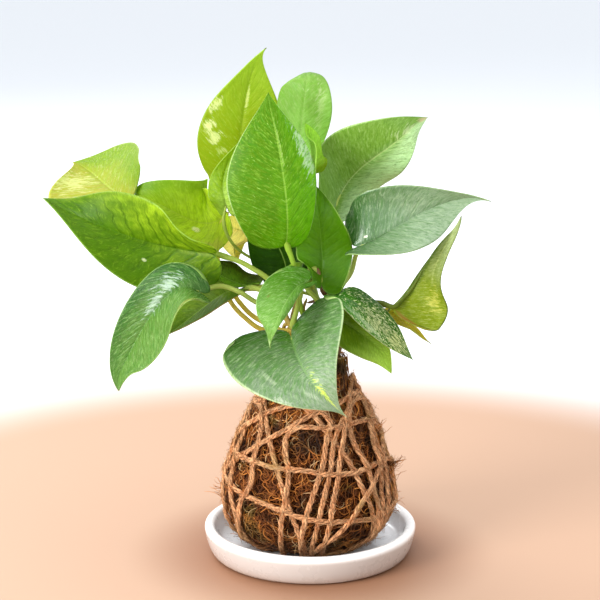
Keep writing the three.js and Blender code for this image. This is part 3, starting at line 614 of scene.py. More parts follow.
# Painted shade: clouds of hairs darkened almost to black, as the deep spaces between hairs look in shade.
gap_shade = mottle(net, shifted(net, place, (0.9, 0.6, 0.1)), 70.0, 3.4)
rusty = tint(net, rusty, "#1c0d02", ramp(net, gap_shade, 0.55, 0.95, 0.0, 0.75))
rusty = tint(net, rusty, "#2a1a0c", ramp(net, height_over_foot(net, place), 0.036, 0.012), 0.5)
feed(net, shader, {"Base Color": rusty, "Roughness": 0.62, "Specular IOR Level": 0.3})
finish_piece(ball, "Coir_wrap", "coir_wrap", coir_ground)
finish_piece(felt, "Coir_felt", "coir_wrap", coir_fibre)
finish_piece(curls, "Coir_curls", "coir_wrap", coir_fibre)

# %% [markdown]
# ## Soil
# The soil inside the wrap can't be seen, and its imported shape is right, so that piece stays and only gets
# a finish: dark, crumbly, with paler bits of root.

# %% Finish the soil
soil, net, shader, place = new_material("potting_soil")
crumbs = mottle(net, place, 160.0, 1.8)
roots = noisy(net, place, 240.0, 2.0, distortion=2.4)
dark = blend(net, crumbs, paint("#1d140d"), paint("#46311f"))
feed(net, shader, {"Base Color": tint(net, dark, "#a58b63", ramp(net, roots, 0.62, 0.7)), "Roughness": 1.0})
emboss(net, shader, crumbs, 0.8, 0.002)
root_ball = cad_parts["root_ball"]
root_ball.data.materials.clear()
root_ball.data.materials.append(soil)
print("soil finish is on", root_ball.name)

# %% [markdown]
# ## Twine
# Jute twine is three loose yarns twisted round each other. One length of it goes over and under the ball
# again and again. Its route is a list of directions seen from the middle of the ball; a smooth
# curve through them is dropped onto the wrap, and where the twine meets itself the later turn climbs over.

# %% Route of the twine
TWINE_ROUTE = [
    (-150, 58), (-100, 62), (-61, 59), (-42, 46), (-25, 21), (-16, 1), (-10, -14), (-5, -29), (0, -58),
    (40, -74), (150, -70), (168, -45), (162, -10), (158, 25), (140, 52), (105, 60), (80, 54), (92, 35),
    (93, 16), (90, -3), (82, -25), (66, -56), (0, -76), (-100, -70), (-128, -45), (-125, -10), (-118, 30),
    (-95, 58), (-45, 66), (0, 59), (13, 49), (26, 33), (33, 19), (37, 7), (44, -10), (58, -45), (105, -66),
    (150, -62), (-165, -45), (-142, -8), (-128, 30), (-150, 56), (160, 60), (105, 63), (50, 60), (28, 50),
    (19, 40), (14, 20), (8, 1), (4, -16), (1, -31), (0, -58), (-30, -74), (-160, -72), (-172, -45),
    (-176, -5), (175, 35), (150, 56), (90, 64), (30, 62), (0, 57), (-21, 49), (-41, 38), (-67, 20),
    (-88, 0), (-100, -25), (-115, -50), (-150, -66), (140, -62), (112, -42), (100, -15), (96, 5), (80, 16),
    (48, 19), (30, 18), (12, 19), (-5, 22), (-25, 22), (-44, 23), (-59, 23), (-95, 20), (-135, 10),
    (175, -2), (130, -10), (95, -14), (72, -16), (39, -15), (21, -13), (1, -10), (-13, -7), (-22, -5),
    (-38, -2), (-57, 0), (-85, 6), (-120, 20), (-160, 38), (160, 52), (115, 55), (84, 48), (31, 50),
    (10, 50), (-12, 50), (-21, 44), (-20, 33), (-16, 22), (-16, 5), (-18, -9), (-24, -40), (-50, -66),
    (-120, -66), (-152, -42), (-155, -5), (-148, 30), (-128, 56), (-98, 54), (-80, 46), (-72, 33),
    (-68, 14), (-61, -4), (-56, -17), (-54, -32), (-40, -60), (60, -72), (118, -50), (124, -12), (120, 25),
    (100, 52), (62, 62), (36, 54), (28, 42), (22, 28), (18, 12), (14, -2), (10, -25), (6, -56), (-20, -72),
    (-140, -60), (-158, -35), (170, 5), (142, 35), (125, 62), (96, 70), (80, 60), (70, 48), (67, 38),
    (66, 24), (66, 9), (62, -10), (56, -35), (62, -58), (160, -68), (-178, -40), (-150, -10), (-110, 15),
    (-80, 38), (-52, 54), (-10, 62), (18, 54), (13, 42), (9, 26), (4, 12), (-1, -2), (-6, -22), (-10, -52),
    (-60, -70), (-108, -52), (-108, -15), (-112, 18), (-110, 50), (-96, 40), (-84, 27), (-78, 5),
    (-76, -12), (-78, -28), (-84, -54), (-170, -66), (148, -42), (144, -5), (135, 30), (118, 60), (90, 71),
    (62, 68), (42, 56), (37, 44), (43, 24), (47, 5), (49, -12), (44, -45), (10, -64), (-90, -64),
    (-140, -30), (180, 10), (130, 42), (100, 50), (70, 50), (62, 36), (60, 22), (56, 2), (52, -15),
    (36, -45), (0, -44), (8, -28), (21, -18), (33, -5), (50, 10), (74, 26), (110, 40), (150, 42),
    (-160, 50), (-100, 56), (-58, 56), (-46, 38), (-46, 22), (-43, 8), (-50, -7), (-54, -24), (-70, -52),
    (-130, -62), (-168, -35), (-166, 5), (-174, 40), (178, 60), (-168, 69), (-120, 70), (-75, 68),
    (-62, 61), (-100, 60), (-140, 65), (180, 66), (150, 68), (136, 60), (140, 45),
]
TWINE_RADIUS, TWINE_LIFT, TWINE_STEP = 1.5, 1.4, 1.6


def smooth_curve(points, parts):
    """A smooth curve through the points, with each stretch split into equal parts."""
    points = np.asarray(points, float)
    before, after = 2 * points[0] - points[1], 2 * points[-1] - points[-2]
    row = np.vstack([before, points, after])
    gap = np.sqrt(np.linalg.norm(np.diff(row, axis=0), axis=1))[:, None]
    p0, p1, p2, p3 = row[:-3], row[1:-2], row[2:-1], row[3:]
    d0, d1, d2 = gap[:-2], gap[1:-1], gap[2:]
    m1 = ((p1 - p0) / d0 - (p2 - p0) / (d0 + d1) + (p2 - p1) / d1) * d1
    m2 = ((p2 - p1) / d1 - (p3 - p1) / (d1 + d2) + (p3 - p2) / d2) * d1
    t = np.linspace(0, 1, parts, endpoint=False)[None, :, None]
    p1, p2, m1, m2 = (a[:, None] for a in (p1, p2, m1, m2))
    path = (p1 + m1 * t + (3 * (p2 - p1) - 2 * m1 - m2) * t ** 2 + (2 * (p1 - p2) + m1 + m2) * t ** 3)
    return np.vstack([path.reshape(-1, points.shape[1]), points[-1:]])


def far_along(path):
    """How far along a path each of its points lies."""
    return np.concatenate([[0], np.cumsum(np.linalg.norm(np.diff(path, axis=0), axis=1))])


def even_steps(path, step):
    """The same path with its points a fixed step apart."""
    far = far_along(path)
    count = max(4, int(round(far[-1] / step)) + 1)
    stops = np.linspace(0, far[-1], count)
    return np.stack([np.interp(stops, far, path[:, k]) for k in range(path.shape[1])], -1)


turns, climbs = np.radians(np.array(TWINE_ROUTE, float)).T
route = np.stack([np.sin(turns) * np.cos(climbs), -np.cos(turns) * np.cos(climbs), np.sin(climbs)], -1)
twine_ways = unit(even_steps(smooth_curve(route, 60), TWINE_STEP / BALL_RADIUS))
twine_surface, twine_out = wrap_surface(twine_ways)
print("twine is", round(len(twine_ways) * TWINE_STEP / 1000, 2), "m long")

# %% Let later turns climb over earlier ones
def climb_over(surface, width, window):
    """How far each point must rise so that it passes over what was laid before it."""
    rise = np.zeros(len(surface))
    for i in range(window + 1, len(surface), 2):
        gap = np.linalg.norm(surface[:i - window] - surface[i], axis=1)
        j = int(gap.argmin())
        if gap[j] < width:
            rise[i] = min(rise[j] + width * 0.55 * (1 - (gap[j] / width) ** 2), 0.9 * width)
    smooth = rise.copy()
    for shift in range(1, 9):
        keep = 1 - (shift / 9) ** 1.5
        smooth[shift:] = np.maximum(smooth[shift:], rise[:-shift] * keep)
        smooth[:-shift] = np.maximum(smooth[:-shift], rise[shift:] * keep)
    kernel = np.hanning(9) / np.hanning(9).sum()
    return np.convolve(smooth, kernel, mode="same")


climb = climb_over(twine_surface, 2 * TWINE_RADIUS, 8) * np.clip((twine_out[:, 2] + 0.75) * 4, 0, 1)
twine_path = twine_surface + twine_out * (TWINE_LIFT + TWINE_RADIUS + climb)[:, None]
print("most of the twine lies flat;", round(float((climb > 1).mean()), 2), "of it climbs over itself")

# %% Twist three yarns together
YARNS, YARN_SIDES, PITCH = 3, 7, 15.0


def drift(points, scale):
    """Seeded noise that wanders along a path."""
    return np.array([noise.noise(Vector(p) * scale) for p in points])


twist = 2 * math.pi * np.arange(len(twine_path)) * TWINE_STEP / PITCH + 2.5 * drift(twine_path, 0.05)
along = unit(np.gradient(twine_path, axis=0))
side = unit(np.cross(along, twine_out))
up = np.cross(side, along)
ragged = drift(twine_path, 0.16)[:, None]
yarn_paths, yarn_ups, yarn_radii = [], [], []
for yarn in range(YARNS):
    angle = (twist + 2 * math.pi * yarn / YARNS)[:, None]
    out = side * np.cos(angle) * 1.25 + up * np.sin(angle) * 0.8
    path = twine_path + out * TWINE_RADIUS * (0.46 + 0.14 * ragged)
    path[:, 2] = np.maximum(path[:, 2], SAUCER_CLEAR + 0.8)
    yarn_paths.append(path)
    yarn_ups.append(unit(out))
    yarn_radii.append(TWINE_RADIUS * 0.56 * (1 + 0.32 * drift(path, 0.8) + 0.2 * drift(path, 0.15)))
yarns = skin_tubes(np.array(yarn_paths), np.array(yarn_ups), np.array(yarn_radii), YARN_SIDES)
twine = tube_piece("Twine", yarns, np.array([0.35, 0.5, 0.65]))
print("each yarn has", len(twine_path), "rings")

# %% Fuzz on the twine
HAIRS = 7000
spots = draw.integers(2, len(twine_path) - 2, HAIRS)
hair_side = draw.uniform(-1, 1, (HAIRS, 1))
hair_out = unit(twine_out[spots] * (1.2 - np.abs(hair_side)) + side[spots] * hair_side * 1.3)
hair_along = along[spots] * draw.choice([-1, 1], (HAIRS, 1))
share = np.linspace(0, 1, 4)[None, :, None]
hair_length = draw.uniform(2.0, 7.0, (HAIRS, 1, 1))
bend = unit(draw.normal(size=(HAIRS, 3)))[:, None]
hairs = (twine_path[spots] + hair_out * TWINE_RADIUS * 0.8)[:, None] + hair_length * (
    hair_along[:, None] * share + hair_out[:, None] * share ** 2 * draw.uniform(-0.1, 0.3, (HAIRS, 1, 1))
    + bend * share ** 2 * 0.22)
hairs[..., 2] = np.maximum(hairs[..., 2], SAUCER_CLEAR + 0.3)
hair_ups = np.broadcast_to(hair_out[:, None], hairs.shape)
hair_thick = draw.uniform(0.10, 0.21, (HAIRS, 1)) * (1.1 - 0.6 * share[..., 0])
fuzz = tube_piece("Fuzz", skin_tubes(hairs, hair_ups, hair_thick, 3), draw.uniform(0.3, 1, HAIRS))
print("hairs:", HAIRS)

# %% [markdown]
# ### Jute
# Jute is a dull pinkish tan. Each yarn shows fine streaks along its length and is browner in the grooves,
# where the yarns press together; the turns low on the ball are darker.

# %% Colour the twine
jute, net, shader, place = new_material("jute")
uv = add(net, "TexCoord").outputs["UV"]
streaked = add(net, "Mapping", {"Vector": uv, "Scale": (1.5, 0.045, 1.0)}).outputs[0]
streaks = noisy(net, streaked, 6.0, 4.0, 0.75)
fibre = blend(net, ramp(net, streaks, 0.38, 0.60), paint("#562606"), paint("#f2b07a"))
cloud = mottle(net, place, 190.0, 3.0)
fibre = tint(net, fibre, "#b0642c", ramp(net, cloud, 0.55, 1.0, 0.0, 0.5))
fibre = tint(net, fibre, "#f9c692", ramp(net, cloud, 0.45, 0.0, 0.0, 0.45))
olive = mottle(net, shifted(net, place, (0.3, 0.8, 0.5)), 34.0, 3.0)
fibre = tint(net, fibre, "#8d7a3e", ramp(net, olive, 0.6, 1.0, 0.0, 0.45))
# Paler by tone: partly the jute's own paler yarn and hairs, and partly a painted highlight on the fuzz that
# catches the light.
fibre = tint(net, fibre, "#fbcf9c", ramp(net, point_value(net, "tone"), 0.55, 1.0, 0.0, 0.75))
# Darker towards the bottom of the ball.
fibre = tint(net, fibre, "#6a4424", ramp(net, height_over_foot(net, place), 0.030, 0.010), 0.55)
feed(net, shader, {"Base Color": fibre, "Roughness": 0.8, "Specular IOR Level": 0.25})
emboss(net, shader, streaks, 1.0, 0.0007)
finish_piece(twine, "Twine", "jute_twine", jute)
finish_piece(fuzz, "Twine_fuzz", "jute_twine", jute)

# %% [markdown]
# ## Stems
# Three stems leave the neck: the old brown one and two younger green ones. A stem could be a curve with a
# bevel; here it is skinned as a tube, because that lets it swell at each joint where a leaf stalk grew.
# Such a vine also grows short brown aerial roots at its joints, which hang between the stems in the shade.

# %% Courses of the stems
STEMS = {
    "main": dict(points=[(11.8, 0.5, 84), (12.4, 0.5, 104), (14.9, 0, 117), (16.6, -1, 126), (15.5, -3, 138),
                         (11.5, -6, 151), (7, -8, 160), (3, -8, 171)], radius=(2.5, 1.7)),
    "left": dict(points=[(6.6, -3, 84), (7.2, -3, 104), (9.2, -2.9, 116), (7.4, -5.8, 122), (-3, -12, 130),
                         (-12, -15, 141), (-17, -14, 151), (-19.5, -12.5, 160)], radius=(2.1, 1.7)),
    "back": dict(points=[(7.6, 4, 84), (8.2, 3.8, 104), (9.6, 3.7, 117), (8, 8, 132), (3, 12, 152),
                         (-2, 13, 168), (-4, 13, 180)], radius=(2, 1.6)),
}
AERIAL_ROOTS = {
    "main": [[(14.9, -3.5, 140), (8, 0, 138), (1, 3, 139), (-4, 5, 144), (-7, 5, 150)],
             [(12, -5.5, 149), (6, -2, 146), (0, 1, 141), (-5, 3, 135), (-8, 4, 127)],
             [(14, -4, 143), (8, -1, 147), (3, 1, 150), (-2, 2, 149)]],
    "left": [[(-9.5, -14, 138.5), (-10.5, -9, 143), (-9, -7, 149), (-7, -7, 156)],
             [(-12, -14, 141), (-15, -9, 138), (-15.5, -6, 131), (-14, -4, 124)],
             [(-6, -12.5, 134), (-3, -7, 140), (-4, -5, 147), (-2, -4, 153)],
             [(-11, -14.5, 140), (-12.5, -11, 135), (-9, -8, 130), (-5, -6, 128)]],
}
STEM_COLOURS = {
    "main": ("#4f3418", "#7c5c2c"), "left": ("#7a5a1e", "#a8963c"), "back": ("#6f8a34", "#93a850"),
}


def steady_ups(path):
    """A sideways direction that never spins as the path is followed."""
    along = unit(np.gradient(path, axis=0))
    up = unit(np.cross(along[0], (0.3, 1, 0.2)))
    ups = []
    for way in along:
        up = unit(up - way * (up @ way))
        ups.append(up)
    return np.array(ups)


def stem_point(name, height):
    """The point of a stem at a height."""
    path = smooth_curve(STEMS[name]["points"], 60)
    return path[np.abs(path[:, 2] - height).argmin()]


def skin_one(path, radii, sides):
    """A single tube."""
    return skin_tubes(path[None], steady_ups(path)[None], np.asarray(radii)[None], sides)


print("stems:", list(STEMS))

# %% [markdown]
# ## Leaves
# A pothos leaf is a thin heart-shaped blade: a midrib that arches in space, two halves folded up along it
# like an open book, margins that curl back and wave, and two lobes beside the stalk. One formula gives any
# of them, so a leaf is a row of measures, in millimetres and degrees. rib holds four points of the midrib,
# and face the way that the upper side looks at the base and at the tip, as a turn and a climb. half and
# fold are the widths and the angles of the left and right half, and cup is how far the margins curl. lobe is
# how far the lobes reach back, wide where the blade is widest, back how wide it starts, sharp how fast it
# narrows, and drip where its tip is drawn to. petiole holds points of the stalk, and stem and height give
# its foot.

# %% The leaves, one row each
LEAVES = {
    "leaf_tall_back": dict(rib=[(-44.5, 32, 214.5), (-41, 28, 239), (-36.5, 26.5, 267.5), (-27.5, 19, 294)],
        face=[(-17, 3), (43, 0)], half=(25, 27), fold=(8, 10), cup=2.5, lobe=8, wide=0.34, back=0.64,
        sharp=1.41, drip=(2.5, 0, -0.5), petiole=[(-37, 26, 196.5), (-23.5, 20, 182.5), (-12, 16, 176)],
        stem="back", height=175),
    "leaf_top_back": dict(rib=[(-4, 16, 228), (-5.5, 19, 247), (-2.5, 13, 272.5), (-3, 42.5, 276.5)],
        face=[(-1, 21), (-11, 60)], half=(16.5, 16), fold=(-4, -1), cup=4, lobe=6.5, wide=0.48, back=0.46,
        sharp=1.27, drip=(0.5, 0, -0.5), petiole=[(-1, 15, 207), (-2.5, 14, 190.5)], stem="back",
        height=181),
    "leaf_rolled_young": dict(
        rib=[(1.5, -7.5, 226.5), (1.5, -11.5, 234.5), (0, -8.5, 242.5), (-3, -11, 254)],
        face=[(69, -16), (65, -51)], half=(9, 10.5), fold=(43, 46), cup=2, lobe=3, wide=0.31, back=0.72,
        sharp=0.8, petiole=[(2, -4, 214.5), (1, 1, 201), (-2, 6, 185)], stem="back", height=177),
    "leaf_centre_front": dict(
        rib=[(-13.5, -20.5, 188.5), (-13.5, -29.5, 215), (-18, -26, 244.5), (-24, -15.5, 269)],
        face=[(14, 8), (6, 2)], half=(31, 19), fold=(-5, -4), cup=5.5, lobe=5.5, wide=0.43, back=0.69,
        sharp=1.13, drip=(0.5, 0, 2.5),
        petiole=[(-9.5, -19, 175.5), (-7.5, -14, 163.5), (-6, -9, 151.5), (-3, -6, 142)], stem="main",
        height=134),
    "leaf_right_upper": dict(rib=[(15, 7.5, 205.5), (28, 14, 224.5), (45, -0.5, 240), (62.5, 2, 257)],
        face=[(6, -12), (15, 8)], half=(29, 19.5), fold=(15, -10), cup=2, lobe=8, wide=0.4, back=0.55,
        sharp=1.05, drip=(3.5, 0, -1), petiole=[(17, 9, 187.5), (15.5, 3, 173)], stem="main", height=160),
    "leaf_right_broad": dict(rib=[(27, -7.5, 184), (48, -8.5, 195), (72, -5.5, 207), (99, -8, 212)],
        face=[(-28, 51), (32, -22)], half=(25, 23.5), fold=(32, 31), cup=-2, lobe=5, wide=0.28, back=0.77,
        sharp=1.49, drip=(2.5, 0, -2.5), petiole=[(26, 5, 176), (23.5, 8, 165.5), (17.5, 4, 157.5)],
        stem="main", height=148),
    "leaf_right_folded": dict(
        rib=[(47.5, -10, 148.5), (60.5, -1.5, 161.5), (70, -6, 180), (87, -10.5, 198.5)],
        face=[(197, -40), (133, -40)], half=(28, 8.5), fold=(-10, 72), cup=3.5, lobe=3, wide=0.06,
        back=0.64, sharp=0.83, drip=(-2, 0, 3.5), petiole=[(38.5, -2, 150), (26.5, 1, 149)], stem="main",
        height=141),
    "leaf_small_under": dict(rib=[(42.5, -2, 144), (50.5, -6, 141.5), (59, -9, 135.5), (68.5, -7.5, 128)],
        face=[(11, 62), (11, 63)], half=(5, 4), fold=(11, 15), cup=1, lobe=3, wide=0.27, back=0.72,
        sharp=1.21, drip=(1, 0, -1), petiole=[(32, 3, 143.5), (23, 3, 141)], stem="main", height=131),
    "leaf_speckled": dict(
        rib=[(14, -17, 157.5), (27.5, -20.5, 153), (41.5, -20, 139.5), (56.5, -23, 122.5)],
        face=[(22, 74), (6, 28)], half=(12, 14), fold=(7, 18), cup=2, lobe=4, wide=0.33, back=0.72,
        sharp=0.97, drip=(1.5, 0, -1), petiole=[(11.5, -10, 157.5)], stem="main", height=153),
    "leaf_lime_under": dict(
        rib=[(11, -14, 147.5), (22.5, -14, 139), (36.5, -11.5, 128), (45.5, -12, 111.5)],
        face=[(3, 37), (0, 30)], half=(9, 15.5), fold=(15, 15), cup=-0.5, lobe=8, wide=0.37, back=0.72,
        sharp=0.91, drip=(1, 0, -1), petiole=[(5.5, -14, 152.5), (-0.5, -14, 159), (-3, -12, 163)],
        stem="main", height=165),
    "leaf_drooping_front": dict(rib=[(-11, -25, 135.5), (-6, -50, 127), (3, -64, 116.5), (19, -63, 100)],
        face=[(-12, 41), (15, -3)], half=(36, 40), fold=(27, 4), cup=-4, lobe=12, wide=0.15, back=0.8,
        sharp=1.7, drip=(0.5, 0, -0.5), petiole=[(-5.5, -27, 131), (1.5, -16, 126.5)], stem="left",
        height=121),
    "leaf_small_front": dict(
        rib=[(-4.5, -31.5, 167.5), (-11.5, -43.5, 163), (-18.5, -56.5, 152), (-23, -51, 136.5)],
        face=[(-11, 46), (-37, 21)], half=(4, 19), fold=(13, 10), cup=2.5, lobe=9.5, wide=0.24, back=0.63,
        sharp=1.0, drip=(0.5, 0, -1.5), petiole=[(-5.5, -30, 163), (-7.5, -22, 151.5)], stem="left",
        height=139),
    "leaf_young_lobe": dict(rib=[(-5.5, -4.5, 162.5), (-8, -7, 165), (-12, -7, 167), (-17, -8, 169)],
        face=[(-12, 47), (-10, 41)], half=(7, 12), fold=(12, 11), cup=2, lobe=3, wide=0.27, back=0.73,
        sharp=1.07, petiole=[(-1, -5, 163)], stem="main", height=161),
    "leaf_centre_right": dict(rib=[(6.5, -13, 164), (6.5, -3.5, 179.5), (5, -9, 197.5), (2.5, -6.5, 216.5)],
        face=[(12, -8), (-3, -2)], half=(15.5, 17.5), fold=(14, 12), cup=-1.5, lobe=8, wide=0.36, back=0.65,
        sharp=0.8, drip=(-0.5, 0, 2.5), petiole=[(3, -10, 166), (-1, -9, 170)], stem="main", height=170.5),
    "leaf_left_drooping": dict(
        rib=[(-63.5, -34.5, 164.5), (-82.5, -36, 158), (-99.5, -34.5, 131.5), (-108, -45, 115)],
        face=[(1, 52), (-12, 22)], half=(28, 16.5), fold=(32, 22), cup=-0.5, lobe=8, wide=0.25, back=0.45,
        sharp=0.8, drip=(1.5, 0, -5.5), petiole=[(-50, -20, 163.5), (-40, -17.5, 159.5), (-30, -14, 152.5)],
        stem="left", height=149),
    "leaf_left_long": dict(
        rib=[(-57, -14, 181), (-90.5, -5.5, 185.5), (-118, -6, 195), (-152.5, 9.5, 207.5)],
        face=[(1, -22), (49, 26)], half=(26.5, 29), fold=(24, 33), cup=-1, lobe=8, wide=0.3, back=0.69,
        sharp=0.92, drip=(-1, 0, 1.5),
        petiole=[(-48.5, -10, 178.5), (-40, -12, 176), (-32.5, -13, 172), (-24.5, -13, 166.5)], stem="left",
        height=158),
    "leaf_left_far": dict(
        rib=[(-104, 13.5, 207.5), (-117, 26.5, 212.5), (-128, 40, 218.5), (-141, 49.5, 225)],
        face=[(-13, 32), (-18, 69)], half=(36, 29), fold=(20, 21), cup=-2, lobe=2, wide=0.43, back=0.7,
        sharp=1.31, drip=(-0.5, 0, -0.5), petiole=[(-89.5, 26, 186.5), (-66, 25, 168.5), (-49.5, 22, 156.5),
        (-41, 9, 147.5), (-31.5, -2, 141)], stem="left", height=130),
    "leaf_left_middle": dict(
        rib=[(-49.5, 12.5, 199.5), (-64.5, 19.5, 193), (-83.5, 12, 203), (-107.5, 22, 211)],
        face=[(-4, 27), (-13, 13)], half=(20, 26.5), fold=(12, 16), cup=1.5, lobe=4, wide=0.28, back=0.72,
        sharp=0.97, drip=(5.5, 0, -3), petiole=[(-54.5, 20, 184), (-54, 20, 169.5), (-50.5, 18, 155.5),
        (-45.5, 8, 147), (-37, -2, 140.5), (-28, -9, 136)], stem="left", height=136),
    "leaf_behind_left": dict(
        rib=[(-48, -1, 206.5), (-49.5, -1.5, 215.5), (-48.5, 2.5, 225), (-41, -4.5, 242)],
        face=[(-7, 0), (1, -3)], half=(9, 12), fold=(12, 12), cup=2, lobe=8, wide=0.29, back=0.72,
        sharp=1.03, petiole=[(-49.5, 0, 197), (-46, 3, 185.5), (-35, 14, 173.5), (-20, 15, 168.5)],
        stem="back", height=165),
    "leaf_olive_under": dict(
        rib=[(-41.5, 1, 157.5), (-52.5, -8, 155), (-65.5, -4.5, 144.5), (-81.5, -11, 133.5)],
        face=[(-3, 62), (2, 54)], half=(10.5, 21.5), fold=(17, 11), cup=0.5, lobe=3.5, wide=0.28, back=0.73,
        sharp=1.02, petiole=[(-33.5, -4, 159), (-26.5, -8, 158)], stem="left", height=155),
    "leaf_dark_middle": dict(rib=[(-14, 8, 163.5), (-17, 9.5, 177.5), (-24, 10, 192.5), (-27.5, 11, 207.5)],
        face=[(-13, -1), (-8, 1)], half=(19, 16), fold=(11, 12), cup=2, lobe=10, wide=0.32, back=0.72,
        sharp=0.99, petiole=[(-10.5, 8, 159), (-6, 9, 158.5)], stem="back", height=156),
    "leaf_dark_left": dict(rib=[(-30.5, 1, 160), (-39.5, 2.5, 160), (-51, 1.5, 165), (-63, 4, 172.5)],
        face=[(-8, 72), (-23, 28)], half=(4.5, 10.5), fold=(20, 9), cup=-1, lobe=3, wide=0.47, back=0.66,
        sharp=0.8, petiole=[(-21, 2, 159), (-12, 7, 156)], stem="back", height=151),
    "leaf_yellow_back": dict(
        rib=[(-32.5, 28, 183.5), (-38.5, 32.5, 185.5), (-47, 29.5, 189), (-54, 32, 195)],
        face=[(-6, 25), (-11, 18)], half=(18.5, 12), fold=(13, 12), cup=2, lobe=3, wide=0.29, back=0.72,
        sharp=1.01, petiole=[(-23.5, 27, 175.5), (-13, 21, 170.5)], stem="back", height=170),
}
print("leaves:", len(LEAVES))

# %% The shape of a blade
DRIP_START, WAVE = 0.85, 1


def midrib(leaf, share):
    """Point on the midrib at a share of its length, on the cubic through its four points."""
    s = np.asarray(share, float)[..., None]
    p0, p1, p2, p3 = (np.array(p, float) for p in leaf["rib"])
    return (-4.5 * (s - 1 / 3) * (s - 2 / 3) * (s - 1) * p0 + 13.5 * s * (s - 2 / 3) * (s - 1) * p1
            - 13.5 * s * (s - 1 / 3) * (s - 1) * p2 + 4.5 * s * (s - 1 / 3) * (s - 2 / 3) * p3)


def midrib_way(leaf, share):
    return unit(midrib(leaf, share + 0.001) - midrib(leaf, share - 0.001))


def midrib_length(leaf):
    return np.linalg.norm(np.diff(midrib(leaf, np.linspace(0, 1, 31)), axis=0), axis=1).sum()


def width_share(leaf, v):
    """Half width along the blade, as a share of the widest."""
    rising = leaf["back"] + (1 - leaf["back"]) * np.sin(np.pi / 2 * np.clip(v / leaf["wide"], 0, 1))
    q = np.clip((v - leaf["wide"]) / (1 - leaf["wide"]), 0, 1)
    return np.where(v < leaf["wide"], rising, (1 - q ** 1.9) ** leaf["sharp"])


def blade_points(leaf, u, v):
    """Points of the blade: u goes from -1 to 1 across it, and v from 0 at the lobes to 1 at the tip."""
    across, share, length = np.abs(u), width_share(leaf, v), midrib_length(leaf)
    x = u * share * np.where(u < 0, *leaf["half"])
    behind = leaf["lobe"] * np.sqrt(np.clip(1 - (2 * across ** 0.9 - 1) ** 2, 0, 1)) * (1 - v) ** 2
    y = v - behind / length
    s = np.clip(y, 0, 1)
    along = midrib_way(leaf, s)
    centre = midrib(leaf, s) + along * (np.minimum(y, 0) * length)[..., None]
    look = facing(*leaf["face"][0]) * (1 - s[..., None]) + facing(*leaf["face"][1]) * s[..., None]
    look = unit(look - along * (look * along).sum(-1, keepdims=True))
    side = np.cross(along, look)
    fold = np.radians(np.where(u < 0, *leaf["fold"])) * (1 - 0.25 * v)
    curl = -leaf["cup"] * across ** 2.2 * share
    wave = (WAVE * np.sin(3 * np.pi * v + np.where(u < 0, 0, 1.7)) * across ** 2
            * np.minimum(1, share * 1.5))
    lift = np.abs(x) * np.sin(fold) + curl + wave
    drawn = np.clip((v - DRIP_START) / (1 - DRIP_START), 0, 1) ** 2.5
    return (centre + side * (x * np.cos(fold))[..., None] + look * lift[..., None]
            + np.array(leaf.get("drip", (0, 0, 0))) * drawn[..., None])


def blade_up(leaf, u, v):
    """The way straight out of the upper side."""
    u, v, h = np.clip(u, -0.94, 0.94), np.clip(v, 0.05, 0.95), 0.01
    across = blade_points(leaf, u + h, v) - blade_points(leaf, u - h, v)
    along = blade_points(leaf, u, v + h) - blade_points(leaf, u, v - h)
    return unit(np.cross(across, along))


print("blade formula is ready")

# %% [markdown]
# ### Relief of the blade
# The midrib lies in a groove on the upper side. Side veins leave it forwards in long arcs, and
# the blade swells a little between them. That relief is only a few tenths of a millimetre, but the shine on
# a waxy leaf shows it at once, so it goes into the mesh.

# %% Veins, swellings and small waves
QUILT, WAVINESS, BLADE_THICKNESS, SMALL_LEAF = 0.22, 1.1, 0.55, 45
LARGE_GRID, SMALL_GRID = (44, 66), (32, 40)


def vein_phase(leaf, u, v):
    """Counts the side veins from the base to the tip, so that each whole number is one vein."""
    across = np.abs(u)
    return leaf["veins"] * (v - 0.30 * across + 0.09 * across ** 2)


def blade_relief(leaf, u, v, seed):
    """Height of the groove, the swellings and the small waves over the smooth blade."""
    across, share = np.abs(u), width_share(leaf, v)
    x = across * share * np.where(u < 0, *leaf["half"])
    groove = -0.5 * np.exp(-x ** 2) * (1 - 0.6 * v)
    swell = np.abs(np.sin(np.pi * vein_phase(leaf, u, v))) ** 0.7 - 0.6
    swell = QUILT * swell * np.clip(across * 4, 0, 1) * np.clip((1 - across) * 3, 0, 1) * share
    waves = np.array([noise.noise(Vector((a * 1.4, b * 3.2, seed))) for a, b in zip(u, v)])
    return groove + swell + waves * WAVINESS * across ** 1.5 * np.clip(share * 2, 0, 1)


def crowd(u):
    """Draws the points of a row towards the midrib, where the groove needs them."""
    return np.sign(u) * np.abs(u) ** 1.2


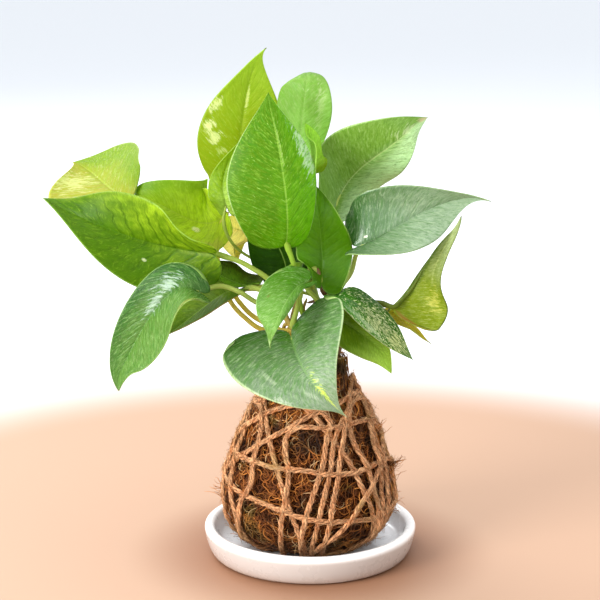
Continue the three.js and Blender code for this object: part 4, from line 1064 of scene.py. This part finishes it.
def make_blade(leaf, seed):
    """A grid primitive moved onto the blade, merged at the tip and given its thickness."""
    wide, tall = SMALL_GRID if midrib_length(leaf) < SMALL_LEAF else LARGE_GRID
    start_clean()
    bpy.ops.mesh.primitive_grid_add(x_subdivisions=wide, y_subdivisions=tall, size=2, location=(0, 0, 0))
    blade = bpy.context.object
    flat = np.array([vertex.co for vertex in blade.data.vertices])
    u, v = crowd(flat[:, 0]), (flat[:, 1] + 1) / 2
    shape = blade_points(leaf, u, v) + blade_up(leaf, u, v) * blade_relief(leaf, u, v, seed)[:, None]
    blade.data.vertices.foreach_set("co", (shape * MM).astype(np.float32).ravel())
    layer = blade.data.uv_layers.active
    corners = np.zeros(len(layer.data) * 2, np.float32)
    layer.data.foreach_get("uv", corners)
    corners[::2] = (crowd(corners[::2] * 2 - 1) + 1) / 2
    layer.data.foreach_set("uv", corners)
    layer.name = "UVMap"
    bpy.ops.object.mode_set(mode="EDIT")
    bpy.ops.mesh.select_all(action="SELECT")
    bpy.ops.mesh.remove_doubles(threshold=0.02 * MM)
    bpy.ops.object.mode_set(mode="OBJECT")
    middle = np.array([vertex.co for vertex in blade.data.vertices])
    normals = np.array([vertex.normal for vertex in blade.data.vertices])
    bpy.ops.object.shade_smooth()
    bpy.ops.object.modifier_add(type="SOLIDIFY")
    wall = blade.modifiers[-1]
    wall.thickness, wall.offset = BLADE_THICKNESS * MM, 0
    bpy.ops.object.modifier_apply(modifier=wall.name)
    points = np.array([vertex.co for vertex in blade.data.vertices])
    first = slice(len(middle))
    first_is_upper = ((points[first] - middle) * normals).sum(1).mean() > 0
    under = np.full(len(points), float(first_is_upper))
    under[first] = float(not first_is_upper)
    mark_points(blade.data, "under", under)
    return blade


print("blades get", BLADE_THICKNESS, "mm of thickness")

# %% [markdown]
# ### Leaf stalks
# The stalk carries on under the blade as the raised back of the midrib and thins out there. It has a small
# swelling, its knee, just below the blade, and widens into a sheath where it clasps the stem.

# %% Make a stalk
STALK_RADIUS, SMALL_STALK_RADIUS, STALK_STEP, STALK_SIDES = 1.7, 1.05, 1.2, 10
RIB_END, RIB_STOPS = 0.62, (0.62, 0.5, 0.38, 0.26, 0.16)


def make_stalk(leaf):
    """One tube from the back of the midrib through the petiole to the stem."""
    length = midrib_length(leaf)
    radius = SMALL_STALK_RADIUS if length < SMALL_LEAF else STALK_RADIUS
    look = facing(*leaf["face"][0])

    def behind_rib(share, depth):
        way = midrib_way(leaf, np.array(share))
        up = unit(look - way * (look @ way))
        return midrib(leaf, np.array(share)) - up * depth

    def depth(share):
        return 0.5 + 0.85 * radius * ((RIB_END - share) / 0.6) ** 1.2

    foot = stem_point(leaf["stem"], leaf["height"])
    route = [behind_rib(0.1, depth(0.1)), behind_rib(0.0, radius), *leaf["petiole"], foot]
    path = even_steps(smooth_curve(route, 30), STALK_STEP)
    back_of_rib = np.array([behind_rib(share, depth(share)) for share in RIB_STOPS])
    path = even_steps(np.vstack([smooth_curve(back_of_rib, 8), path[1:]]), STALK_STEP)
    far = far_along(path)
    head = length * 0.6
    growth = np.clip(far / head, 0.12, 1) ** 1.2
    knee = 0.22 * np.exp(-((far - head - 6) / 3.5) ** 2)
    sheath = 0.45 * np.exp(-(far[-1] - far) / 5)
    radii = radius * (growth * 0.85 + knee + sheath)
    stalk = tube_piece("Stalk", skin_one(path, radii, STALK_SIDES))
    mark_points(stalk.data, "stalk", np.ones(len(stalk.data.vertices)))
    return stalk


print("stalks can be made")

# %% Skin the stems
STEM_SIDES, STEM_STEP = 14, 1.2
ROOT_SIDES, ROOT_STEP, ROOT_TAPER = 9, 1.0, ([0, 0.15, 0.9, 1], [1.7, 1.35, 0.85, 0.4])
for name, stem in STEMS.items():
    path = even_steps(smooth_curve(stem["points"], 40), STEM_STEP)
    share = np.linspace(0, 1, len(path))
    radii = stem["radius"][0] + (stem["radius"][1] - stem["radius"][0]) * share
    for height in [leaf["height"] for leaf in LEAVES.values() if leaf["stem"] == name]:
        radii = radii + 0.35 * np.exp(-((path[:, 2] - height + 2) / 1.3) ** 2)
    piece = tube_piece("Stem_" + name, skin_one(path, radii, STEM_SIDES))
    for course in AERIAL_ROOTS.get(name, []):
        root = even_steps(smooth_curve(course, 20), ROOT_STEP)
        thin = np.interp(np.linspace(0, 1, len(root)), *ROOT_TAPER)
        piece = join_into(piece, tube_piece("Root", skin_one(root, thin, ROOT_SIDES)))
    shift_by_noise(piece, 400, 0.18 * MM)
    bark, net, shader, place = new_material("bark_" + name)
    drawn_out = add(net, "Mapping", {"Vector": place, "Scale": (1.0, 1.0, 0.12)}).outputs[0]
    lines = noisy(net, drawn_out, 900.0, 3.0)
    dark, pale = STEM_COLOURS[name]
    body = blend(net, mottle(net, place, 160.0, 2.0), paint(dark), paint(pale))
    body = tint(net, body, "#4b3318", ramp(net, lines, 0.55, 0.75, 0.0, 0.5))
    feed(net, shader, {"Base Color": body, "Roughness": 0.5})
    emboss(net, shader, lines, 0.4, 0.0004)
    finish_piece(piece, "Stem_" + name, "stem_" + name, bark)

# %% [markdown]
# ### Leaf finish
# Golden pothos leaves run from deep green to lime, and each has its own mix. What they share goes into
# shader groups that read the blade's own UV map: the midrib and side veins, streaky flecks of cream that
# follow the veins, and soft marks that can be put anywhere on a blade. Each leaf's material then sets its
# greens, and mixes in a Translucent shader, because the window light behind shines through the blade.

# %% Shader group: veins
vein_group, ends_in, ends_out = new_group(
    "leaf_veins", [("UV", "Vector", None), ("Count", "Float", 9.0), ("Seed", "Float", 0.0),
                   ("Wander", "Float", 0.035)],
    [("Rib", "Float"), ("Veins", "Float"), ("Fine", "Float"), ("Rim", "Float"), ("Along", "Vector")],
)
net, given = vein_group, ends_in.outputs
uv = add(net, "SeparateXYZ", {0: given["UV"]}).outputs
across = maths(net, "ABSOLUTE", maths(net, "MULTIPLY_ADD", uv["X"], 2.0, -1.0))
shift = add(net, "CombineXYZ", {"X": given["Seed"], "Z": given["Seed"]}).outputs[0]
wobble = noisy(net, vector_maths(net, "ADD", given["UV"], shift), 6.0, 2.5)
wobble = maths(net, "MULTIPLY", maths(net, "SUBTRACT", wobble, 0.5), given["Wander"])
arc = maths(net, "MULTIPLY", across, maths(net, "MULTIPLY_ADD", across, 0.09, -0.30))
phase = maths(net, "ADD", maths(net, "ADD", uv["Y"], arc), wobble)
counted = maths(net, "MULTIPLY", phase, given["Count"])
near_vein = ramp(net, maths(net, "PINGPONG", counted, 0.5), 0.17, 0.0)
stretch = add(net, "CombineXYZ", {
    "X": maths(net, "MULTIPLY", counted, 5.0), "Y": maths(net, "MULTIPLY", across, 4.0),
    "Z": given["Seed"]}).outputs[0]
feed(net, ends_out, {
    "Rib": ramp(net, across, 0.034, 0.008), "Rim": ramp(net, across, 0.968, 0.992),
    "Veins": maths(net, "MULTIPLY", near_vein, ramp(net, across, 1.0, 0.45)),
    "Fine": noisy(net, stretch, 1.0, 3.0, 0.6), "Along": stretch,
})
print("group:", vein_group.name)

# %% Shader group: a soft mark anywhere on the blade
mark_group, ends_in, ends_out = new_group(
    "leaf_mark", [("UV", "Vector", None), ("Centre", "Vector", None), ("Stretch", "Vector", None),
                  ("Along", "Vector", None), ("Break", "Float", 0.6)],
    [("Mask", "Float")],
)
net, given = mark_group, ends_in.outputs
offset = vector_maths(net, "SUBTRACT", given["UV"], given["Centre"])
reach = vector_maths(net, "LENGTH", vector_maths(net, "MULTIPLY", offset, given["Stretch"]))
ragged = maths(net, "SUBTRACT", noisy(net, given["Along"], 1.7, 4.0, 0.7), 0.5)
broken = maths(net, "MULTIPLY", ragged, maths(net, "MULTIPLY", given["Break"], 4.0))
feed(net, ends_out, {"Mask": ramp(net, maths(net, "ADD", reach, broken), 1.35, 0.55)})
print("group:", mark_group.name)

# %% [markdown]
# ### The look of each leaf
# PLAIN holds what most leaves share, and a row of LOOKS only what differs. main and second are the two
# greens, which partly hold painted sheen on some leaves, painted shade on others and painted light on one;
# sweep says how much the second one grows across, along and overall, and blotch is a cloudy third colour with
# its strength. rib, veins and rim give a colour and a strength, wander bends the veins, and fine is the
# strength of the streaks between them. flecks are cream dashes, a colour and a share; dash scales them along
# and across the veins, crisp is how soft their edge is, and fleck how strong they are. marks are soft patches
# of the leaf's own colours, and on some leaves painted highlights and painted reflections: colour, place
# across and along, size across and along, how ragged, and strength; grit scales their ragged edge. pores and
# grain are the fine mottling, in the colours pale and deep.
#
# gloss is the roughness, shine the plain reflection, coat the wax and relief the depth of the bumps. glow is
# the share of light that shines through, and lit its colour. under and backing tint the underside, and stalk
# and knee are the two colours of the petiole.

# %% Greens, veins and marks of each leaf
PLAIN = dict(second="#4f8f18", sweep=(0.0, 0.0, 0.0), rib=("#a5c95a", 0.45), veins=("#3c7410", 0.18),
    fine=0.32, rim=("#b4cf6a", 0.4), blotch=("#5c8a10", 0.0), flecks=("#dfe7a0", 0.0), dash=(1.4, 1.2),
    crisp=0.08, fleck=0.7, marks=[], grit=(0.55, 0.6), pores=0.6, grain=0.4, pale="#cfe27c", deep="#3d7010",
    gloss=0.34, shine=0.2, coat=0.0, glow=0.36, lit="#c0dc1e", under="#9cc05a", backing=0.5,
    stalk="#b6c45e", knee="#8aa83a", relief=0.35, wander=0.035)
LOOKS = {
    "leaf_tall_back": dict(main="#b9d342", second="#95a50d", sweep=(0, -2, 0.4), rib=("#b3d044", 0.12),
        veins=("#8bb022", 0.16), flecks=("#e6e79a", 0.06),
        marks=[("#f1efb8", -0.86, 0.58, 0.12, 0.045, 1.1, 0.9),
        ("#f1efb8", -0.8, 0.44, 0.12, 0.04, 1.3, 0.9), ("#efedb0", -0.6, 0.39, 0.14, 0.035, 1.4, 0.85),
        ("#e9eaa2", -0.4, 0.3, 0.1, 0.03, 1.6, 0.6), ("#ecec9c", 0.04, 0.65, 0.05, 0.08, 0.9, 0.75)],
        pores=0.5, pale="#dce66a", deep="#86ac18", gloss=0.42, glow=0.5),
    "leaf_top_back": dict(main="#c6f88d", second="#7ea547", sweep=(-0.4, 2, 0.4), rib=("#b9dc7c", 0.2),
        veins=("#77b03c", 0.3), fine=0.5, flecks=("#dcebb0", 0.1),
        marks=[("#e4f0b8", 0.62, 0.52, 0.1, 0.14, 2.6, 0.35)], pores=0.45, grain=0.45, pale="#cfe59a",
        deep="#6fa836", glow=0.45),
    "leaf_rolled_young": dict(main="#b4ed50", second="#83a700", sweep=(0.4, -2, -0.4), rib=("#cde37a", 0.4),
        pale="#dcec6a", deep="#8ab41c", glow=0.5),
    "leaf_centre_front": dict(main="#71bf05", second="#4f7601", sweep=(-0.8, 0.8, 0.4),
        rib=("#a9d455", 0.5), veins=("#478c10", 0.25), rim=("#cfe39a", 0.6), flecks=("#b4d868", 0.17),
        dash=(1.7, 2.0), marks=[("#c4de7c", 0.05, 0.68, 0.03, 0.14, 1.2, 0.4),
        # Painted highlight: the pale grey-green patch by the right margin stands for the window's shine on
        # the wax.
        ("#d3e6c8", 0.86, 0.62, 0.16, 0.13, 1.6, 0.6)], pores=0.7, grain=0.55, pale="#a4d04e",
        deep="#3a7a08", gloss=0.32, shine=0.12, glow=0.3, stalk="#94b43a", knee="#6f9426"),
    # Painted sheen: the pale grey-green main colour partly stands for the window's whitish shine on the wax.
    "leaf_right_upper": dict(main="#c0e4a5", second="#6d9730", sweep=(-1.6, -0.8, 0.4),
        rib=("#c4dc8c", 0.5), veins=("#5b8a24", 0.2), rim=("#bcd48a", 0.5), flecks=("#d8e6a8", 0.03),
        marks=[("#dfe9b8", -0.12, 0.84, 0.14, 0.045, 3.2, 0.35),
        ("#c8b48a", -0.1, 0.98, 0.6, 0.035, 0.4, 0.8)], pores=0.7, grain=0.45, pale="#b9cf86",
        deep="#4a7418", gloss=0.36, shine=0.35, glow=0.2, lit="#b7cc94"),
    # Painted sheen: the grey-green main colour partly stands for the window's milky shine on the wax.
    "leaf_right_broad": dict(main="#94aa89", second="#185300", sweep=(-0.4, -2, -0.4), rib=("#3c6a22", 0.2),
        veins=("#547f34", 0.2), rim=("#87a066", 0.6),
        marks=[("#fbf6e0", -0.15, 0.13, 0.03, 0.016, 0.2, 1.0),
        ("#8a7a44", 0.0, 0.985, 0.8, 0.03, 0.3, 0.8), ("#2f5618", 0.0, 0.14, 0.022, 0.16, 0.2, 0.85)],
        pores=0.85, grain=0.55, pale="#b8cda0", deep="#4f7a3c", gloss=0.28, shine=0.5, coat=0.15, glow=0.25,
        lit="#a5be8c"),
    "leaf_right_folded": dict(main="#b0bc8f", second="#859500", sweep=(0, -2, 0.4), rib=("#b9c85a", 0.2),
        veins=("#7d9424", 0.2), rim=("#4c5a1c", 0.8), marks=[("#3a5a14", 0.55, 0.48, 0.5, 0.5, 0.3, 0.92),
        ("#4b6c1a", -0.03, 0.55, 0.07, 0.34, 0.4, 0.7), ("#d9e08c", -0.42, 0.72, 0.04, 0.2, 1.0, 0.5),
        ("#ece070", -0.62, 0.3, 0.14, 0.07, 3.0, 0.55), ("#b0602c", -0.5, 0.02, 0.4, 0.02, 0.6, 0.7)],
        pores=0.9, grain=0.6, pale="#dbe08a", deep="#6f8420", gloss=0.4, glow=0.42, under="#a4b544",
        backing=0.0, stalk="#6b7822", knee="#46561a"),
    "leaf_small_under": dict(main="#e8d23c", second="#dcc02e", sweep=(0.0, 0.4, 0.0), rib=("#d8c858", 0.4),
        marks=[("#4a3312", 0.0, 0.97, 0.8, 0.06, 0.2, 0.8)], pale="#e6d870", deep="#9a8420", glow=0.45),
    "leaf_speckled": dict(main="#318809", second="#0f5700", sweep=(-0.8, 1.2, 0.4), rib=("#9cbc5c", 0.4),
        veins=("#3b6612", 0.25), rim=("#d3dfb0", 0.6), flecks=("#e6ecaa", 0.33), dash=(0.7, 2.4),
        crisp=0.05, fleck=0.95, marks=[("#e9edb0", 0.3, 0.6, 0.5, 0.12, 3.8, 0.6),
        ("#eef0a0", 0.1, 0.84, 0.6, 0.06, 3.8, 0.55), ("#b9cda4", 0.75, 0.45, 0.14, 0.25, 1.0, 0.5)],
        grit=(0.4, 1.5), pale="#9cbc54", deep="#2c5408", gloss=0.32, glow=0.25),
    "leaf_lime_under": dict(main="#d7ff6b", second="#688800", sweep=(0, -2, 0.4), rib=("#b9d45c", 0.3),
        rim=("#d6e48a", 0.6), grain=0.3, pale="#b4d45c", deep="#567c14", glow=0.45),
    # Painted sheen and glints: the grey-green main colour partly stands for the window's milky shine, and the
    # three whitish marks after the yellow dashes are painted glints.
    "leaf_drooping_front": dict(main="#97a48e", second="#2a5900", sweep=(0, -1.2, 0), rib=("#8bb860", 0.25),
        veins=("#54882f", 0.22), fine=0.5, rim=("#cfe0a8", 0.6),
        marks=[("#d0e25a", -0.1, 0.81, 0.1, 0.16, 2.2, 0.85), ("#dfe8c8", 0.62, 0.45, 0.04, 0.06, 1.4, 0.2),
        ("#eef2d8", 0.93, 0.62, 0.06, 0.04, 1.4, 0.35), ("#e6ecd4", 0.34, 0.72, 0.08, 0.05, 1.4, 0.22)],
        pores=0.65, grain=0.55, pale="#c2d8a4", deep="#467a28", gloss=0.26, glow=0.22, lit="#9fc07a"),
    "leaf_small_front": dict(main="#3d7000", second="#7ea951", sweep=(0, 1.6, 0), rib=("#a9d070", 0.4),
        rim=("#c9e49a", 0.5), flecks=("#dcebb0", 0.04),
        marks=[("#7a5a2a", 0.65, 0.45, 0.05, 0.02, 0.4, 0.6), ("#dcebb4", 0.0, 0.97, 0.6, 0.05, 0.4, 0.6)],
        pores=0.9, grain=0.7, pale="#bfe08a", deep="#55941c", glow=0.35),
    "leaf_young_lobe": dict(main="#9cc43a", second="#86b022", glow=0.42),
    "leaf_centre_right": dict(main="#467501", second="#5f9c01", sweep=(-1.2, 2, -0.2),
        rib=("#6fa030", 0.35), veins=("#41730c", 0.2), pores=0.4, grain=0.3, pale="#84ac3c", deep="#36680a",
        glow=0.28),
    # Painted reflection and shade: the two pale grey-green marks are painted reflections of the window, and
    # the near-black green at the base of the right half is partly painted shade.
    "leaf_left_drooping": dict(main="#134301", second="#5a7b2f", sweep=(-0.8, 1.2, 0.4),
        rib=("#4d8a26", 0.4), veins=("#558c2c", 0.22), fine=0.5, rim=("#a8c86a", 0.45),
        marks=[("#cfe0d2", 0.34, 0.27, 0.2, 0.07, 1.7, 0.6), ("#cfe0d2", 0.16, 0.4, 0.14, 0.07, 1.7, 0.55),
        ("#b0a050", -0.9, 0.15, 0.12, 0.1, 0.8, 0.5)], pores=0.8, grain=0.5, pale="#a6cc7c", deep="#3c7420",
        gloss=0.24, shine=0.25, coat=0.12, glow=0.28, lit="#a0c878", relief=0.6),
    "leaf_left_long": dict(main="#537f00", second="#c3dd30", sweep=(0.8, -1.2, -0.4), rib=("#4a7c08", 0.55),
        veins=("#315c00", 0.85), fine=0.4, rim=("#b8d46a", 0.5), blotch=("#3d6c00", 0.65),
        marks=[("#f6f4d0", -0.4, 0.38, 0.035, 0.014, 0.3, 0.95)], pores=0.9, grain=0.6, pale="#a9cc30",
        deep="#5e8c08", gloss=0.38, glow=0.55, wander=0.12),
    "leaf_left_far": dict(main="#6e8e0a", second="#bbae38", sweep=(-1.2, -0.4, 0.2), rib=("#c3dc5a", 0.4),
        veins=("#8fbf3c", 0.25), rim=("#d8e688", 0.4), flecks=("#f2f2b0", 0.14),
        marks=[("#f4f2b4", -0.5, 0.6, 0.3, 0.12, 1.6, 0.6), ("#f1f1b0", -0.8, 0.72, 0.2, 0.1, 1.6, 0.6)],
        grain=0.5, pale="#f2f4b0", deep="#bcd04a", gloss=0.42, glow=0.5, stalk="#eadb68", knee="#c99c30"),
    "leaf_left_middle": dict(main="#588e04", second="#d4ec31", sweep=(-0.4, -1.6, 0.4),
        rib=("#b9cc4a", 0.4), veins=("#8aa822", 0.25), blotch=("#7ea018", 0.3),
        marks=[("#fff6c4", -0.25, 0.38, 0.075, 0.035, 0.3, 1.0),
        ("#c8a860", -0.8, 0.3, 0.2, 0.2, 1.0, 0.4)], pores=0.7, grain=0.5, pale="#c6d85c", deep="#7a9c18",
        gloss=0.4, glow=0.45, stalk="#eadb68", knee="#c99c30"),
    "leaf_behind_left": dict(main="#86a700", second="#cbe96c", sweep=(0.8, -2, -0.4), pale="#c6dc5c",
        deep="#78a018", glow=0.42),
    "leaf_olive_under": dict(main="#4c6a10", second="#8aaa2e", sweep=(0.6, -1.2, -0.2),
        rim=("#d09a5c", 0.8), pores=0.8, grain=0.5, pale="#8fa43c", deep="#40560c", shine=0.1, glow=0.3,
        lit="#7a9a20", under="#55741a", backing=0.75),
    # Painted shade: its very dark greens are partly the shade that this leaf sits in, deep inside the crown.
    "leaf_dark_middle": dict(main="#224a04", second="#193a02", sweep=(0.8, -2, 0.4), veins=("#1c3804", 0.3),
        rim=("#4f7a20", 0.3), pores=0.5, grain=0.3, pale="#4f7c14", deep="#1c3804", shine=0.05, glow=0.2),
    # Painted shade: the brown-black main colour is partly the shade that one half of the leaf lies in.
    "leaf_dark_left": dict(main="#332f00", second="#6b961d", sweep=(-0.8, 0.4, 0.2), rim=("#4f6a20", 0.3),
        pores=0.8, grain=0.5, pale="#4c6c14", deep="#1c2c04", shine=0.05, glow=0.15),
    # Painted light: the near-white yellow is partly the leaf's own pale yellow, and partly painted light
    # against the shade that it sits in.
    "leaf_yellow_back": dict(main="#fff6b4", second="#fdee84", sweep=(0.2, 0.4, 0.0), pores=0.7, grain=0.5,
        pale="#f6e88c", deep="#d0a83a", glow=0.8, lit="#fffac8"),
}
print("looks:", len(LOOKS))

# %% Pattern of a blade
FLECK_LEVEL, PORE_STRETCH = 0.74, (1.4, 1.3)


def stretched(net, along, factors):
    """The way along the side veins with its two directions scaled, so that dabs get longer or wider."""
    return vector_maths(net, "MULTIPLY", along, (*factors, 1.0))


def leaf_greens(net, look, uv):
    """The two greens, softly clouded, and the blotches over them."""
    split = add(net, "SeparateXYZ", {0: uv}).outputs
    right, forward, more = look["sweep"]
    share = maths(net, "MULTIPLY_ADD", split["X"], 2 * right, 0.5 + more - right - forward * 0.5)
    share = maths(net, "ADD", share, maths(net, "MULTIPLY", split["Y"], forward))
    cloud = maths(net, "SUBTRACT", mottle(net, uv, 3.0, 1.1), 0.5)
    body = blend(net, maths(net, "ADD", share, cloud, clamp=True), paint(look["main"]), paint(look["second"]))
    return tint(net, body, look["blotch"][0], mottle(net, uv, 8.0, 4.0), look["blotch"][1])


def leaf_pattern(net, look, uv, veined, body):
    """Streaks, veins, cream dashes and soft marks, some of them painted highlights, each laid over the one
    before.
    """
    body = tint(net, body, look["veins"][0], ramp(net, veined["Fine"], 0.35, 0.7, 0.0, look["fine"]))
    for part in ("Veins", "Rib", "Rim"):
        colour, strength = look[part.lower()]
        body = tint(net, body, colour, veined[part], strength)
    colour, amount = look["flecks"]
    if amount:
        dashes = noisy(net, stretched(net, veined["Along"], look["dash"]), 1.0, 2.0)
        ends = FLECK_LEVEL - 0.5 * amount, FLECK_LEVEL + look["crisp"] - 0.5 * amount
        body = tint(net, body, colour, ramp(net, dashes, *ends, 0.0, look["fleck"]))
    ragged_way = stretched(net, veined["Along"], look["grit"])
    for colour, u, v, wide, tall, ragged, strength in look["marks"]:
        mask = use_group(net, mark_group, {
            "UV": uv, "Centre": ((u + 1) / 2, v, 0), "Stretch": (2 / wide, 1 / tall, 0),
            "Along": ragged_way, "Break": ragged}).outputs[0]
        body = tint(net, body, colour, mask, strength)
    return body


print("patterns can be made")

# %% Make a leaf's material
def leaf_finish(name, look, seed, count):
    """The whole material of a leaf: blade, underside and stalk."""
    material, net, shader, place = new_material("finish_" + name)
    uv = add(net, "TexCoord").outputs["UV"]
    veined = use_group(net, vein_group, {
        "UV": uv, "Count": float(count), "Seed": float(seed), "Wander": look["wander"]}).outputs
    body = leaf_pattern(net, look, uv, veined, leaf_greens(net, look, uv))
    cells = noisy(net, place, 430.0, 4.0, 0.75)
    pores = noisy(net, stretched(net, veined["Along"], PORE_STRETCH), 1.0, 4.0, 0.75)
    for value, part in ((cells, 0.45 * look["grain"]), (pores, look["pores"])):
        body = tint(net, body, look["pale"], ramp(net, value, 0.50, 0.68, 0.0, 0.55 * part))
        body = tint(net, body, look["deep"], ramp(net, value, 0.50, 0.34, 0.0, part))
    under, stalk = point_value(net, "under"), point_value(net, "stalk")
    body = tint(net, body, look["under"], under, look["backing"])
    stem_green = tint(net, paint(look["stalk"]), look["knee"], mottle(net, place, 130.0, 1.6), 0.5)
    body = blend(net, stalk, body, stem_green)
    waxy = ramp(net, veined["Fine"], 0.2, 0.8, look["gloss"] - 0.06, look["gloss"] + 0.10)
    feed(net, shader, {
        "Base Color": body, "Specular IOR Level": look["shine"], "Coat Weight": look["coat"],
        "Coat Roughness": 0.16,
        "Roughness": maths(net, "MULTIPLY_ADD", maths(net, "MAXIMUM", under, stalk), 0.14, waxy),
    })
    hollow = maths(net, "MULTIPLY", veined["Veins"], -0.5)
    height = maths(net, "ADD", maths(net, "MULTIPLY", veined["Fine"], 0.6), hollow)
    height = maths(net, "ADD", height, maths(net, "MULTIPLY", maths(net, "ADD", cells, pores), 0.6))
    emboss(net, shader, height, look["relief"], 0.0005)
    through = add(net, "BsdfTranslucent", {"Color": tint(net, body, look["lit"], 0.3)})
    mixed = add(net, "MixShader", {0: look["glow"], 1: shader.outputs[0], 2: through.outputs[0]})
    feed(net, net.nodes["Material Output"], {"Surface": mixed.outputs[0]})
    return material


print("leaf materials can be made")

# %% Make every leaf
SMALL_VEINS, LARGE_VEINS, SEED_STEP = 8, 11, 7.3
for seed, (name, leaf) in enumerate(LEAVES.items()):
    leaf["veins"] = SMALL_VEINS if midrib_length(leaf) < SMALL_LEAF else LARGE_VEINS
    piece = join_into(make_blade(leaf, seed * SEED_STEP), make_stalk(leaf))
    finish = leaf_finish(name, {**PLAIN, **LOOKS[name]}, seed, leaf["veins"])
    finish_piece(piece, "L" + name[1:], name, finish)
